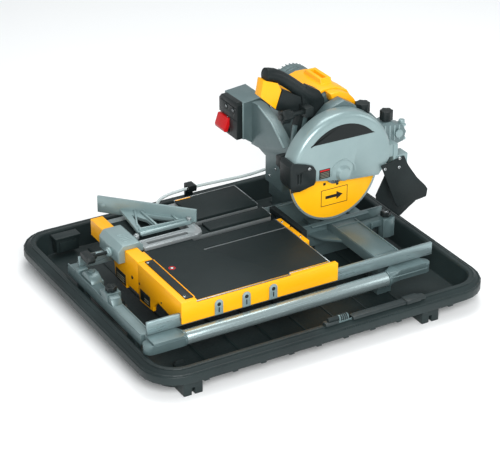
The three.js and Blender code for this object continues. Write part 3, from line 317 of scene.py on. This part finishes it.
TICK_FIRST, TICK_LAST, TICK_PITCH = -186, -48, 6
ticks = [block((x, -355.9, -215), (x + 2.2, -353, -210.2 if (x - TICK_FIRST) % 30 else -208.6), 0.3)
         for x in range(TICK_FIRST, TICK_LAST, TICK_PITCH)]
together(ticks, "tray_front_ribs", "base", tray_plastic, "tray")
nubs = [block((x, -355.9, -236), (x + 14, -349, -231), 1.2) for x in range(-560, 180, 74)]
together(nubs, "tray_lip_nubs", "base", tray_plastic, "tray")
pocket = [block((-588, 372, -246), (-526, 398, -204), 2.5), block((-592, 368, -208), (-522, 400, -202), 1.5),
          block((-580, 369, -240), (-534, 373, -214), 1)]
together(pocket, "tray_pocket", "base", tray_plastic, "tray")


def rim_ring(inset, height):
    """Places round the rim, a set distance in from the tray's outer edge."""
    radius = 90 - inset
    ring = []
    for x, y, start in ((155, 355, 0), (-588, 355, 90), (-588, -266, 180), (155, -266, 270)):
        for step in range(7):
            turn = math.radians(start + 15 * step)
            ring.append((x + radius * math.cos(turn), y + radius * math.sin(turn), height))
    return ring


for label, inset, height in (("tray_rim_outer_bead", 4.5, -209.6), ("tray_rim_inner_bead", 19, -201.6)):
    ring = rim_ring(inset, height)
    beads = [rod(a, b, 2.3, 10, 0) for a, b in zip(ring, ring[1:] + ring[:1])]
    together(beads, label, "base", tray_plastic, "tray")
ribs = [block((-500 + 90 * i, -300, -259), (-494 + 90 * i, 380, -256), 1) for i in range(7)]
together(ribs, "tray_floor_ribs", "base", tray_plastic, "tray")

# ---------------------------------------------------------------- rim strip and latch
# A dark slide strip clipped on the front rim with a turning latch and a ribbed black knob at its end.

strip_plastic = finish("strip plastic", (0.014, 0.021, 0.022), (0.022, 0.031, 0.032), 0.42, 0.08, grain=0.001, shine=0.3)
dressed("rim_strip", "base", strip_plastic, edge=1.4)
cast_grey = finish("cast grey", (0.092, 0.14, 0.145), (0.118, 0.172, 0.178), 0.36, 0.07, metallic=0.3, coat=0.1,
                   cloud=0.09, grain=0.0014, depth=0.2, dust=0.1, dust_colour=(0.17, 0.23, 0.23))
dressed("rim_latch", "base", cast_grey, edge=1)
groove = [block((-150, -345.4, -193.4), (40, -343.6, -192.6), 0.2), block((-150, -328.4, -193.4), (40, -326.6, -192.6), 0.2)]
together(groove, "rim_strip_beads", "base", strip_plastic, "tray")
latch_ring = [rod((-190 + 5 * i, -333, -191), (-187 + 5 * i, -333, -191), 9.2, 20, 0.6) for i in range(4)]
latch_ring.append(rod((-222, -333, -189), (-190, -333, -189), 6, 16, 1))
together(latch_ring, "rim_latch_knob", "base", rubber, "rubber")
latch_plate = [block((-232, -343, -200.5), (-196, -326, -192), 1.6), block((-10, -349, -200.5), (30, -322, -191), 1.6)]
together(latch_plate, "rim_strip_end_plates", "base", strip_plastic, "tray")

# ---------------------------------------------------------------- pump and hose clip
# A small black submersible pump with an inlet grille, and the two-part clip that pins the hose to the rim.

black_plastic = finish("black plastic", (0.0085, 0.0125, 0.013), (0.0135, 0.019, 0.0195), 0.42, 0.08,
                       grain=0.0011, depth=0.35, dust=0.05, dust_colour=(0.04, 0.055, 0.055), shine=0.22)
dressed("pump", "base", black_plastic, edge=2)
dressed("hose_clip", "base", black_plastic, edge=1.6)
grille = [block((-434 + 8 * i, 316.8, -250), (-430 + 8 * i, 318.2, -216), 0.4) for i in range(6)]
together(grille, "pump_grille", "base", black_plastic, "black_plastic")
clip_ears = [rod((-190, 398, -164.5), (-178, 398, -164.5), 3.5, 16, 0.6), block((-199, 400, -178), (-195, 414, -168), 1),
             block((-173, 400, -178), (-169, 414, -168), 1)]
together(clip_ears, "hose_clip_ears", "base", black_plastic, "black_plastic")

# ---------------------------------------------------------------- rails, front tube and their castings
# Drawn steel rails and a bright steel tube, held at both ends by grey die castings with raised rims.

drawn_steel = finish("drawn steel", (0.23, 0.31, 0.32), (0.3, 0.39, 0.4), 0.3, 0.04, metallic=0.6, cloud=0.05,
                     grain=0.0012, depth=0.02, stretch=(0.06, 1, 1))
tube_steel = finish("tube steel", (0.26, 0.33, 0.335), (0.32, 0.4, 0.405), 0.26, 0.03, metallic=0.55, coat=0.2,
                    cloud=0.06, grain=0.0012, depth=0.02, stretch=(0.08, 1, 1))
for node in ("front_rail", "rear_rail"):
    dressed(node, "base", drawn_steel, edge=0.9)
dressed("front_tube", "base", tube_steel, edge=0.8)
for node in ("tube_end_left", "tube_end_right"):
    dressed(node, "base", cast_grey, edge=2.4, segments=3)
for node in ("cross_member_right", "trough_beam", "column_base"):
    dressed(node, "base", cast_grey, edge=1.6)
light_grey = finish("light grey paint", (0.215, 0.3, 0.305), (0.255, 0.345, 0.35), 0.33, 0.05, metallic=0.3, coat=0.25,
                    cloud=0.14, grain=0.0015, depth=0.12, dust=0.06, dust_colour=(0.36, 0.45, 0.44))
dressed("cross_member_left", "base", cast_grey, edge=2.4, segments=3)
dressed("trough_lip", "base", rubber, edge=1)

lip_lines = [block((-628, -253.6, -182), (-548, -251.2, -178.6), 0.8), block((8, -253.6, -182), (114, -251.2, -178.6), 0.8),
             rod((-546, -235, -189), (-552, -235, -189), 19.4, 32, 0.8), rod((5.6, -235, -189), (12, -235, -189), 19.4, 32, 0.8)]
together(lip_lines, "tube_end_rims", "base", cast_grey, "castings")
left_webs = [
    plate([(1, -174), (22, -174), (14, -158), (1, -154)], "x", (-638, -612), 1.5),
    plate([(-31, -174), (-56, -174), (-46, -158), (-31, -154)], "x", (-638, -612), 1.5),
    block((-640.5, -200, -175), (-637, 188, -171), 0.8), block((-615, -200, -175), (-611.5, 188, -171), 0.8),
]
together(left_webs, "left_frame_webs", "base", cast_grey, "castings")
lock_tower = [plate([(62, -174), (126, -174), (116, -162), (104, -154), (84, -154), (70, -162)], "x", (-636, -606), 2.5),
              rod((-621, 94, -156), (-621, 94, -150), 8, 24, 1.5), block((-608, 70, -198), (-599, 118, -172), 2),
              block((-640, 128, -174), (-612, 150, -164), 2)]
together(lock_tower, "left_lock_casting", "base", cast_grey, "castings")
detent = [block((-613, 26, -198), (-600, 40, -176), 2), block((-613, 44, -198), (-600, 66, -180), 2),
          rod((-612, 130, -188), (-600, 130, -188), 7, 20, 1), block((-613, -60, -196), (-600, -48, -178), 2),
          block((-606, 20, -226), (-570, 106, -212), 2)]
together(detent, "cart_detent", "base", black_plastic, "black_plastic")
right_webs = [
    rod((148, -15, -205), (148, -15, -153), 20, 28, 2), rod((22, -10, -176), (22, -10, -150), 11, 24, 1.5),
    block((72, -30, -172), (78, -1, -155), 1.5), block((96, -30, -172), (101, -1, -155), 1.5),
    block((-3, -190, -147), (66, -186, -144.5), 0.8), block((-3, -20, -147), (66, -16, -144.5), 0.8),
    block((-4, -202, -147), (0, 2, -144), 0.8), block((63, -202, -147), (67, 2, -144), 0.8),
]
together(right_webs, "right_frame_webs", "base", cast_grey, "castings")
trough_ribs = [block((x, 26, -199), (x + 4, 141, -192), 0.8) for x in (-40, 0, 40, 80, 120)]
trough_ribs += [block((-84, 19, -146), (160, 22, -142.6), 0.8), block((-84, 143, -146), (160, 146, -142.6), 0.8)]
together(trough_ribs, "trough_ribs", "base", cast_grey, "castings")

# ---------------------------------------------------------------- post knobs
# Black moulded clamping knobs with a screw head set in the middle; the left knob's screw head is coloured black,
# painted shade.

bright_steel = finish("bright steel", (0.42, 0.45, 0.46), (0.5, 0.53, 0.54), 0.24, 0.06, metallic=0.9, grain=0.001,
                      depth=0.1, stretch=(1, 1, 0.2))
for node, body, x in (("post_knob_left", "left_knob", -622), ("post_knob_right", "right_knob", 148)):
    dressed(node, body, black_plastic, edge=1)
    # The left knob's screw head is coloured black plastic like the knob, painted shade; the right one is bright steel.
    cap_look = (bright_steel, "steel") if body == "right_knob" else (black_plastic, "black_plastic")
    caps = [rod((x, -15, -141), (x, -15, -138.6), 8.6, 24, 0.6), rod((x, -15, -140), (x, -15, -137.2), 5, 6, 0.4)]
    together(caps, node + "_cap", body, *cap_look)

# ---------------------------------------------------------------- rolling cart
# A plate deck under ribbed rubber mats, with a bent yellow front panel, end wall and fence bar.
# Grey tabs, blank dark plates, screws and a bright edge line are fixed to the outside; the tabs' holes and slots, the
# end wall's holes and the screws' recesses are black shapes, painted shade.

yellow = finish("yellow enamel", (0.93, 0.4, 0.002), (0.96, 0.44, 0.003), 0.4, 0.05, coat=0.12, cloud=0.2,
                grain=0.0022, depth=0.1, dust=0.05, dust_colour=(0.7, 0.33, 0.01), shine=0.3)
aluminium = finish("mill aluminium", (0.3, 0.335, 0.34), (0.38, 0.415, 0.42), 0.34, 0.07, metallic=0.6, cloud=0.08,
                   grain=0.001, depth=0.2, stretch=(0.2, 1, 1))
mat_rubber = finish("mat rubber", (0.0088, 0.0145, 0.015), (0.0125, 0.0195, 0.02), 0.52, 0.07, cloud=0.2,
                    grain=0.0008, depth=0.4, dust=0.1, dust_colour=(0.028, 0.038, 0.038), shine=0.16)
dressed("deck_plate", "cart", aluminium, edge=0.6)
for node in ("deck_mat", "deck_strip", "deck_panel_rear"):
    dressed(node, "cart", mat_rubber, edge=0.9)
for node in ("cart_frame", "fence_bar", "edge_bracket"):
    dressed(node, "cart", yellow, edge=1.3, segments=3)
dressed("end_strip", "cart", black_plastic, edge=0.5)

silver_line = [
    block((-503.6, -214.6, -118.2), (-251.4, -211.6, -115.9), 0.4), block((-252.6, -214, -118.2), (-250.4, -205.6, -116.2), 0.4),
    block((-252, -207.6, -118.2), (-137, -205.4, -116.2), 0.4), block((-139.6, -207, -118.2), (-137, 48.5, -116.2), 0.4),
    block((-139.6, 71, -118.2), (-137, 113, -111.4), 0.4), block((-139.6, 137, -118.2), (-137, 256, -111.4), 0.4),
    block((-311.6, 253.8, -118.2), (-137, 256.2, -111.4), 0.4),
]
together(silver_line, "deck_edge_line", "cart", bright_steel, "steel")
yellow_line = [
    block((-500, -210.4, -117.6), (-256, -209.2, -116.4), 0.2), block((-248, -203.4, -117.6), (-141, -202.2, -116.4), 0.2),
    block((-504.2, -208, -112), (-502.6, -4, -106.5), 0.3), block((-310, 250.5, -112.2), (-268, 254, -111.4), 0.3),
]
together(yellow_line, "deck_yellow_line", "cart", yellow, "yellow_paint")

TAB_MIDDLES = (-448, -375, -303)
tabs, tab_hole_shades = [], []
for x in TAB_MIDDLES:
    arch = [(x - 11, -162), (x + 11, -162)]
    arch += [(x + 11 * math.cos(math.radians(a)), -134 + 11 * math.sin(math.radians(a))) for a in range(0, 181, 15)]
    tabs.append(plate(arch, "y", (-221, -223.6), 0.8))
    # Each hole and slot is not cut: a black disc and bar laid on the tab are painted shade.
    tab_hole_shades.append(rod((x, -224, -135), (x, -222, -135), 5, 20, 0.4))
    tab_hole_shades.append(block((x - 1.6, -223.9, -156), (x + 1.6, -223, -143), 0.3))
together(tabs, "panel_tabs", "cart", light_grey, "light_castings")
together(tab_hole_shades, "panel_tab_hole_shades", "cart", black_plastic, "black_plastic")

plates = [block((-545.2, 66, -202), (-543.8, 118, -172), 0.5), block((-545.2, -62, -198), (-543.8, -12, -170), 0.5)]
together(plates, "end_wall_plates", "cart", black_plastic, "black_plastic")
print_grey = finish("print grey", (0.2, 0.19, 0.14), (0.24, 0.23, 0.17), 0.5, 0.05)
bars = [block((-545.7, 72, z), (-545, 112, z + 1.6), 0.1) for z in (-196, -190, -184)]
bars += [block((-545.7, -56, z), (-545, -34, z + 1.6), 0.1) for z in (-192, -186)]
together(bars, "end_wall_plate_bars", "cart", print_grey, "black_plastic")
# The end wall's holes are black discs laid on it: painted shade.
wall_hole_shades = [rod((-545, 29.6, -160), (-543.6, 29.6, -160), 4.6, 20, 0.3), rod((-545, -7.4, -159), (-543.6, -7.4, -159), 3, 16, 0.3),
              rod((-545, -120, -156), (-543.6, -120, -156), 2.4, 16, 0.3)]
together(wall_hole_shades, "end_wall_hole_shades", "cart", black_plastic, "black_plastic")


def screw(place, axis, radius=4.2, tall=2.0):
    """A pan-head screw, its head standing along the axis; its cross recess is a thin black cross laid on the head,
    painted shade.
    """
    far = [p + tall * a for p, a in zip(place, axis)]
    head = rod(place, far, radius, 20, 0.5, tip=radius * 0.8)
    top = [p + 0.2 * a for p, a in zip(far, axis)]
    # The black cross stands in for the shade inside the recess: painted shade.
    arms = []
    for long_way in range(3):
        if axis[long_way]:
            continue
        reach = [0.45 if i != long_way else radius * 0.62 for i in range(3)]
        reach = [0.15 if axis[i] else reach[i] for i in range(3)]
        arms.append(block([c - r for c, r in zip(top, reach)], [c + r for c, r in zip(top, reach)], 0.05))
    return head, arms


def screws(spots, name, body):
    heads, recess_shades = [], []
    for place, axis, radius in spots:
        head, arms = screw(place, axis, radius)
        heads.append(head)
        recess_shades += arms
    together(heads, name, body, bright_steel, "steel")
    # Recess crosses in black: painted shade.
    together(recess_shades, name + "_recess_shades", body, black_plastic, "black_plastic")


screws([((-524.7, -16, -104.4), (0, 0, 1), 4), ((-525.4, -200, -104.4), (0, 0, 1), 4),
        ((-131, -60, -118), (0, 0, 1), 3.2), ((-131, 28, -118), (0, 0, 1), 3.2)], "cart_screws", "cart")
red = finish("red plastic", (0.5, 0.006, 0.008), (0.58, 0.01, 0.012), 0.36, 0.05, coat=0.1, grain=0.002, depth=0.12,
             shine=0.25)
white_print = finish("white print", (0.6, 0.62, 0.62), (0.7, 0.72, 0.72), 0.5, 0.05)
deselect()
bpy.ops.mesh.primitive_torus_add(major_radius=0.0072, minor_radius=0.0011, major_segments=40, minor_segments=8,
                                 location=at(-476.5, -46.2, -117))
ring = bpy.context.object
ring.scale = (1, 1, 0.35)
settle(ring, "mat_ring_mark", "cart", red)
dot = rod((-476.5, -46.2, -117.2), (-476.5, -46.2, -116.7), 3.4, 24, 0.1)
settle(dot, "mat_ring_middle", "cart", white_print)

for index, body in enumerate(("roller_a", "roller_b", "roller_c", "roller_d"), 1):
    wheel = dressed(f"roller_{index}", body, bright_steel, edge=0.7)

# ---------------------------------------------------------------- fence clamp and angle guide
# Die-cast clamp saddled over the fence bar, drawn tight by a black T-knob; the slotted bar it carries
# holds a ribbed angle guide that swings on a pin.

dressed("clamp_body", "fence_clamp", light_grey, edge=2.2, segments=3)
dressed("clamp_knob", "clamp_screw", black_plastic, edge=1.6)
dressed("guide_bar", "fence_clamp", aluminium, edge=1.2)
dressed("angle_guide", "guide", light_grey, edge=1.0)
clamp_trim = [
    rod((-570, 108, -122), (-561, 108, -122), 13, 28, 2.5, tip=10.5), rod((-573, 108, -122), (-569, 108, -122), 8.5, 24, 1),
    *(block((-538, 84 + 9 * i, -92.5), (-512, 88 + 9 * i, -91.2), 0.5) for i in range(5)),
]
together(clamp_trim, "clamp_trim", "fence_clamp", light_grey, "light_castings")
bar_trim = [rod((-490, 112, -108), (-490, 112, -98), 7, 24, 1), rod((-490, 112, -99), (-490, 112, -95), 4.5, 6, 0.5),
            rod((-341, 121, -95), (-341, 121, -92), 6.4, 24, 0.8),
            block((-493, 60, -108.6), (-356, 64, -106.4), 0.6), block((-493, 93, -108.6), (-356, 97, -106.4), 0.6)]
together(bar_trim, "guide_bar_trim", "fence_clamp", aluminium, "aluminium")
guide_ribs = [
    plate([(-470, 150), (-466, 150), (-434, 226), (-438, 229)], "z", (-99.6, -94), 0.6),
    plate([(-428, 132), (-423, 132), (-423, 210), (-428, 214)], "z", (-99.6, -93), 0.6),
    plate([(-370, 130), (-365, 129), (-365, 156), (-370, 161)], "z", (-99.6, -94), 0.6),
    plate([(-474, 134), (-472, 130), (-352, 119), (-352, 123)], "z", (-99.6, -93), 0.6),
    rod((-492, 291, -97), (-487, 295, -97), 6, 20, 0.6), rod((-420, 214, -97), (-415, 218, -97), 5, 20, 0.6),
    rod((-352, 141, -97), (-347, 145, -97), 5, 20, 0.6),
]
together(guide_ribs, "angle_guide_ribs", "guide", light_grey, "light_castings")

# ---------------------------------------------------------------- fixed arm, column and switch
# A hollow grey casting sweeps up from the column to a black switch box with two sockets and a red paddle.

arm_skin = dressed("fixed_arm", "base", cast_grey, edge=2.6, segments=3)
dressed("switch_housing", "base", black_plastic, edge=1.8)
dressed("switch_paddle", "switch", red, edge=1.8, segments=3)
sockets = [rod((-137.6, y, 94), (-129, y, 94), 7.4, 24, 0.4) for y in (262, 296)]
together(sockets, "socket_covers", "base", rubber, "rubber")
socket_slots = [block((-138, y - 3.6 + 5.4 * i, 91), (-137.2, y - 2 + 5.4 * i, 97), 0.1) for y in (262, 296) for i in (0, 1)]
socket_slots += [rod((-138.1, 289, 66), (-137, 289, 66), 1.8, 16, 0.1), rod((-138.1, 325, 24), (-137, 325, 24), 1.8, 16, 0.1)]
together(socket_slots, "socket_slots", "base", bright_steel, "steel")
paddle_ribs = [block((-150.5 + 1.5 * i, 288, 34 + 6 * i), (-147 + 1.5 * i, 326, 35.6 + 6 * i), 0.5) for i in range(4)]
together(paddle_ribs, "paddle_ribs", "switch", red, "red_plastic")
switch_seam = [block((-138, 244, 103), (-137, 326, 104), 0.2), block((-138, 244, 70), (-137, 278, 71), 0.2)]
together(switch_seam, "switch_seams", "base", rubber, "rubber")

# ---------------------------------------------------------------- bevel arm, its knob and the plunge pin
# The casting that tilts with the head: it turns on the arm's hub bolt and carries the plunge pin.

dressed("bevel_arm", "bevel_head", cast_grey, edge=1.6)
dressed("bevel_knob", "bevel_lock", black_plastic, edge=1)
dressed("plunge_pin", "bevel_head", bright_steel, edge=0.6)
# The rim is a real raised edge of the grey casting; its lighter grey paint is a painted highlight.
rim_path = [(206, 119), (142, 98), (103, 72), (80, 54)]
rim_rods = [rod((-96, *a), (-96, *b), 2.4, 12, 0.5) for a, b in zip(rim_path, rim_path[1:])]
rim_rods += [rod((-120, 241, 20), (-120, 241, 117), 2.2, 12, 0.5)]
together(rim_rods, "arm_rim_painted_highlight", "base", light_grey, "light_castings")
screws([((-95.4, 90, -4), (-1, 0, 0), 4), ((-95.4, 150, -50), (-1, 0, 0), 4), ((-95.4, 120, -20), (-1, 0, 0), 3.4)],
       "arm_screws", "base")

# ---------------------------------------------------------------- drive case and its two knobs
# A ribbed casting over the belt; two black fluted knobs on top set the depth and lock the plunge.

dressed("drive_case", "saw_head", cast_grey, edge=1.8)
dressed("depth_stop_knob", "depth_stop", black_plastic, edge=1.4)
dressed("plunge_lock_knob", "plunge_lock", black_plastic, edge=1.4)
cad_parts["drive_belt"].data.materials.clear()
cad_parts["drive_belt"].data.materials.append(rubber)
# The ribs and bosses belong to the grey casting; painting them a lighter grey is a painted highlight on the raised
# parts.
case_ribs = [block((150 + 14 * i, 25, 30), (154 + 14 * i, 60, 78 - 2 * i), 1) for i in range(5)]
case_ribs += [block((186, 30, 60), (232, 56, 66), 1.5), rod((226, 43, 50), (226, 43, 74), 8, 20, 1),
              block((206, 30, 22), (232, 54, 30), 2), rod((205, 24.6, 48), (205, 20, 48), 11, 28, 1)]
together(case_ribs, "drive_case_ribs_painted_highlight", "saw_head", light_grey, "light_castings")

label_black = finish("label black", (0.008, 0.011, 0.011), (0.012, 0.015, 0.015), 0.4, 0.05, grain=0.003, depth=0.05,
                     shine=0.2)

# ---------------------------------------------------------------- motor
# A finned can with a vented end cap, under a yellow moulded cover with a carry handle.

for node in ("motor_housing", "motor_end_cap"):
    dressed(node, "saw_head", cast_grey, edge=1.6, smooth=40)
copper = finish("copper winding", (0.35, 0.14, 0.05), (0.2, 0.2, 0.2), 0.45, 0.1, metallic=0.8, grain=0.0012)
dressed("motor_stator", "saw_head", copper, edge=0.6)
dressed("motor_armature", "rotor", copper, edge=0.6)
dressed("motor_cover", "saw_head", yellow, edge=3, segments=3)
fins = []
for step in range(15):
    turn = math.radians(20 + 10 * step)
    u, w = math.cos(turn), math.sin(turn)
    fins.append(rod((42 + 61 * u, 238, 114 + 61 * w), (42 + 61 * u, 288, 114 + 61 * w), 1.5, 8, 0.4))
together(fins, "motor_fins", "saw_head", cast_grey, "castings")
rings = [rod((42, y, 114), (42, y + 3, 114), 62.6, 48, 0.8) for y in (236, 252)]
together(rings, "motor_rings", "saw_head", cast_grey, "castings")
# The ribs belong to the grey end cap; painting them a lighter grey is a painted highlight on their crests.
cap_ribs = []
for step in range(11):
    turn = math.radians(40 + 10 * step)
    u, w = math.cos(turn), math.sin(turn)
    cap_ribs.append(rod((42 + 60 * u, 280, 114 + 60 * w), (42 + 47 * u, 301.4, 114 + 47 * w), 1.8, 8, 0.5))
together(cap_ribs, "end_cap_ribs_painted_highlight", "saw_head", light_grey, "light_castings")
shoulder = [(42 + 65 * math.cos(math.radians(a)), 114 + 65 * math.sin(math.radians(a))) for a in range(104, -5, -9)]
shoulder += [(42 + 42 * math.cos(math.radians(a)), 114 + 42 * math.sin(math.radians(a))) for a in (-4, 30, 70, 104)]
settle(plate(shoulder, "y", (62.6, 92.5), 3), "motor_cover_shoulder", "saw_head", yellow)
# The cover's vent slots are not cut: thin black bars laid on the cover are painted shade.
cover_vent_shades = [block((84 + 3.4 * i, 110, 166 - 6.6 * i), (86 + 3.4 * i, 172 - 9 * i, 168.5 - 6.6 * i), 0.4) for i in range(4)]
together(cover_vent_shades, "motor_cover_vent_shades", "saw_head", label_black, "black_plastic")
rating = block((-20, 89.2, 150), (8, 90.8, 168), 0.2)
settle(rating, "motor_rating_plate", "saw_head", label_black)

# ---------------------------------------------------------------- handle, its cover and the star knob
# A black D-handle moulded in one with its stem, a yellow cover over the cord entry, and a star knob on a stud.

dressed("handle", "saw_head", black_plastic, edge=2.4, smooth=45, keep_angle=40, segments=3)
dressed("handle_cover", "saw_head", yellow, edge=2.2, segments=3)
dressed("star_knob", "star_lock", black_plastic, edge=1.2)
star_cap = [rod((-128, 41, 160), (-131, 41, 160), 9, 24, 1), rod((-106, 41, 160), (-96, 41, 160), 11, 24, 1)]
together(star_cap, "star_knob_cap", "star_lock", black_plastic, "black_plastic")
# A black plate under the handle stands in for the motor side lying in dark shadow: painted shade.
shade_plate = [plate([(-78, 66), (-20, 62), (-14, 96), (-20, 150), (-62, 150), (-76, 104)], "y", (62, 84), 3)]
together(shade_plate, "handle_shade_plate", "saw_head", black_plastic, "black_plastic")
struts = [block((-84, 60, 46), (-74, 70, 118), 1.6, (0, 8, 0)), block((-62, 60, 40), (-50, 70, 140), 1.6, (0, 12, 0)),
          plate([(-86, 40), (-30, 34), (-30, 50), (-86, 56)], "y", (58, 70), 1.5)]
together(struts, "handle_struts", "saw_head", cast_grey, "castings")

# ---------------------------------------------------------------- blade and spindle
# A yellow-printed steel core with a bare diamond rim; flange and nut hold it on the spindle.

blade_face = finish("blade enamel", (0.97, 0.45, 0.003), (0.99, 0.5, 0.005), 0.45, 0.05, cloud=0.09, grain=0.0016,
                    depth=0.08, shine=0.25)
dressed("blade", "cutting_disc", blade_face, edge=0.2)
for node in ("spindle", "outer_flange"):
    dressed(node, "cutting_disc", bright_steel, edge=0.6)
for side in (-1, 1):
    deselect()
    bpy.ops.mesh.primitive_circle_add(vertices=96, radius=0.1271, fill_type="NOTHING", location=at(0, side * 1.25, 0),
                                      rotation=(math.radians(90), 0, 0))
    rim = bpy.context.object
    bpy.ops.object.mode_set(mode="EDIT")
    bpy.ops.mesh.select_all(action="SELECT")
    bpy.ops.mesh.extrude_edges_move()
    bpy.ops.transform.resize(value=(0.957, 1, 0.957), center_override=at(0, side * 1.25, 0))
    bpy.ops.mesh.select_all(action="SELECT")
    bpy.ops.mesh.normals_make_consistent(inside=False)
    bpy.ops.object.mode_set(mode="OBJECT")
    thick = rim.modifiers.new("wall", "SOLIDIFY")
    thick.thickness = 0.0005
    bpy.ops.object.modifier_apply(modifier="wall")
    settle(rim, "blade_rim_" + ("front" if side < 0 else "back"), "cutting_disc", drawn_steel)

box_print = [block((-37, -1.5, -44.6), (40, -1.1, -43), 0.05), block((-37, -1.5, -88), (40, -1.1, -86.4), 0.05),
             block((-37, -1.5, -87), (-35.4, -1.1, -44), 0.05), block((38.4, -1.5, -87), (40, -1.1, -44), 0.05)]
box_print += [plate([(-24, -69), (8, -69), (8, -76), (26, -65), (8, -54), (8, -61), (-24, -61)], "y", (-1.5, -1.1), 0)]
box_print += [block((-31, -1.5, -30), (-24, -1.1, -23), 0.05), block((6, -1.5, -37), (13, -1.1, -30), 0.05)]
together(box_print, "blade_print", "cutting_disc", label_black, "black_plastic")

# ---------------------------------------------------------------- blade guard, shield and flaps
# A spun and painted light grey drum with a rolled shoulder; a black moulded shield with a brush in front,
# and two rubber flaps that catch the spray behind.

guard = dressed("blade_guard", "saw_head", light_grey, edge=1.4, smooth=32, keep_angle=28)
dressed("front_shield", "saw_head", black_plastic, edge=2)
for node in ("flap_front", "flap_rear"):
    dressed(node, "saw_head", rubber, edge=1)
crescent = [(-82, 96)]
crescent += [(9 + 118 * math.cos(math.radians(a)), 16 + 119 * math.sin(math.radians(a))) for a in range(140, 41, -6)]
crescent += [(102, 94)]
settle(plate(crescent, "y", (-23.0, -23.5), 0), "guard_label", "saw_head", label_black)
settle(block((-57, -23.6, 2), (-26, -23, 27), 0.1), "guard_small_label", "saw_head", label_black)
label_bar = [block((-55, -23.9, 22), (-28, -23.5, 25.4), 0.05)]
together(label_bar, "guard_small_label_bar", "saw_head", red, "red_plastic")
label_lines = [block((-54, -23.9, z), (-29, -23.5, z + 1.3), 0.05) for z in (5, 9, 13, 17)]
together(label_lines, "guard_small_label_lines", "saw_head", print_grey, "black_plastic")
hub_bead = [(-24, 3), (-22, 20), (-14, 32), (0, 40), (12, 42), (24, 40), (38, 32), (46, 20), (48, 3),
            (44, 3), (42, 18), (35, 28), (23, 36), (12, 38), (1, 36), (-11, 28), (-18, 18), (-20, 3)]
settle(plate(hub_bead, "y", (-22.6, -24.2), 0.4), "guard_hub_bead", "saw_head", light_grey)
bristles = [block((-141 + 3.4 * i, -31.4, -12), (-139 + 3.4 * i, -29, 4), 0.3) for i in range(7)]
together(bristles, "shield_brush", "saw_head", label_black, "black_plastic")
screws([((-91, -32, 43), (0, -1, 0), 4.6), ((132, -28, -13), (0, -1, 0), 4.4), ((174, -28, -17), (0, -1, 0), 4.4),
        ((175, -28, 7), (0, -1, 0), 4.4)], "guard_screws", "saw_head")
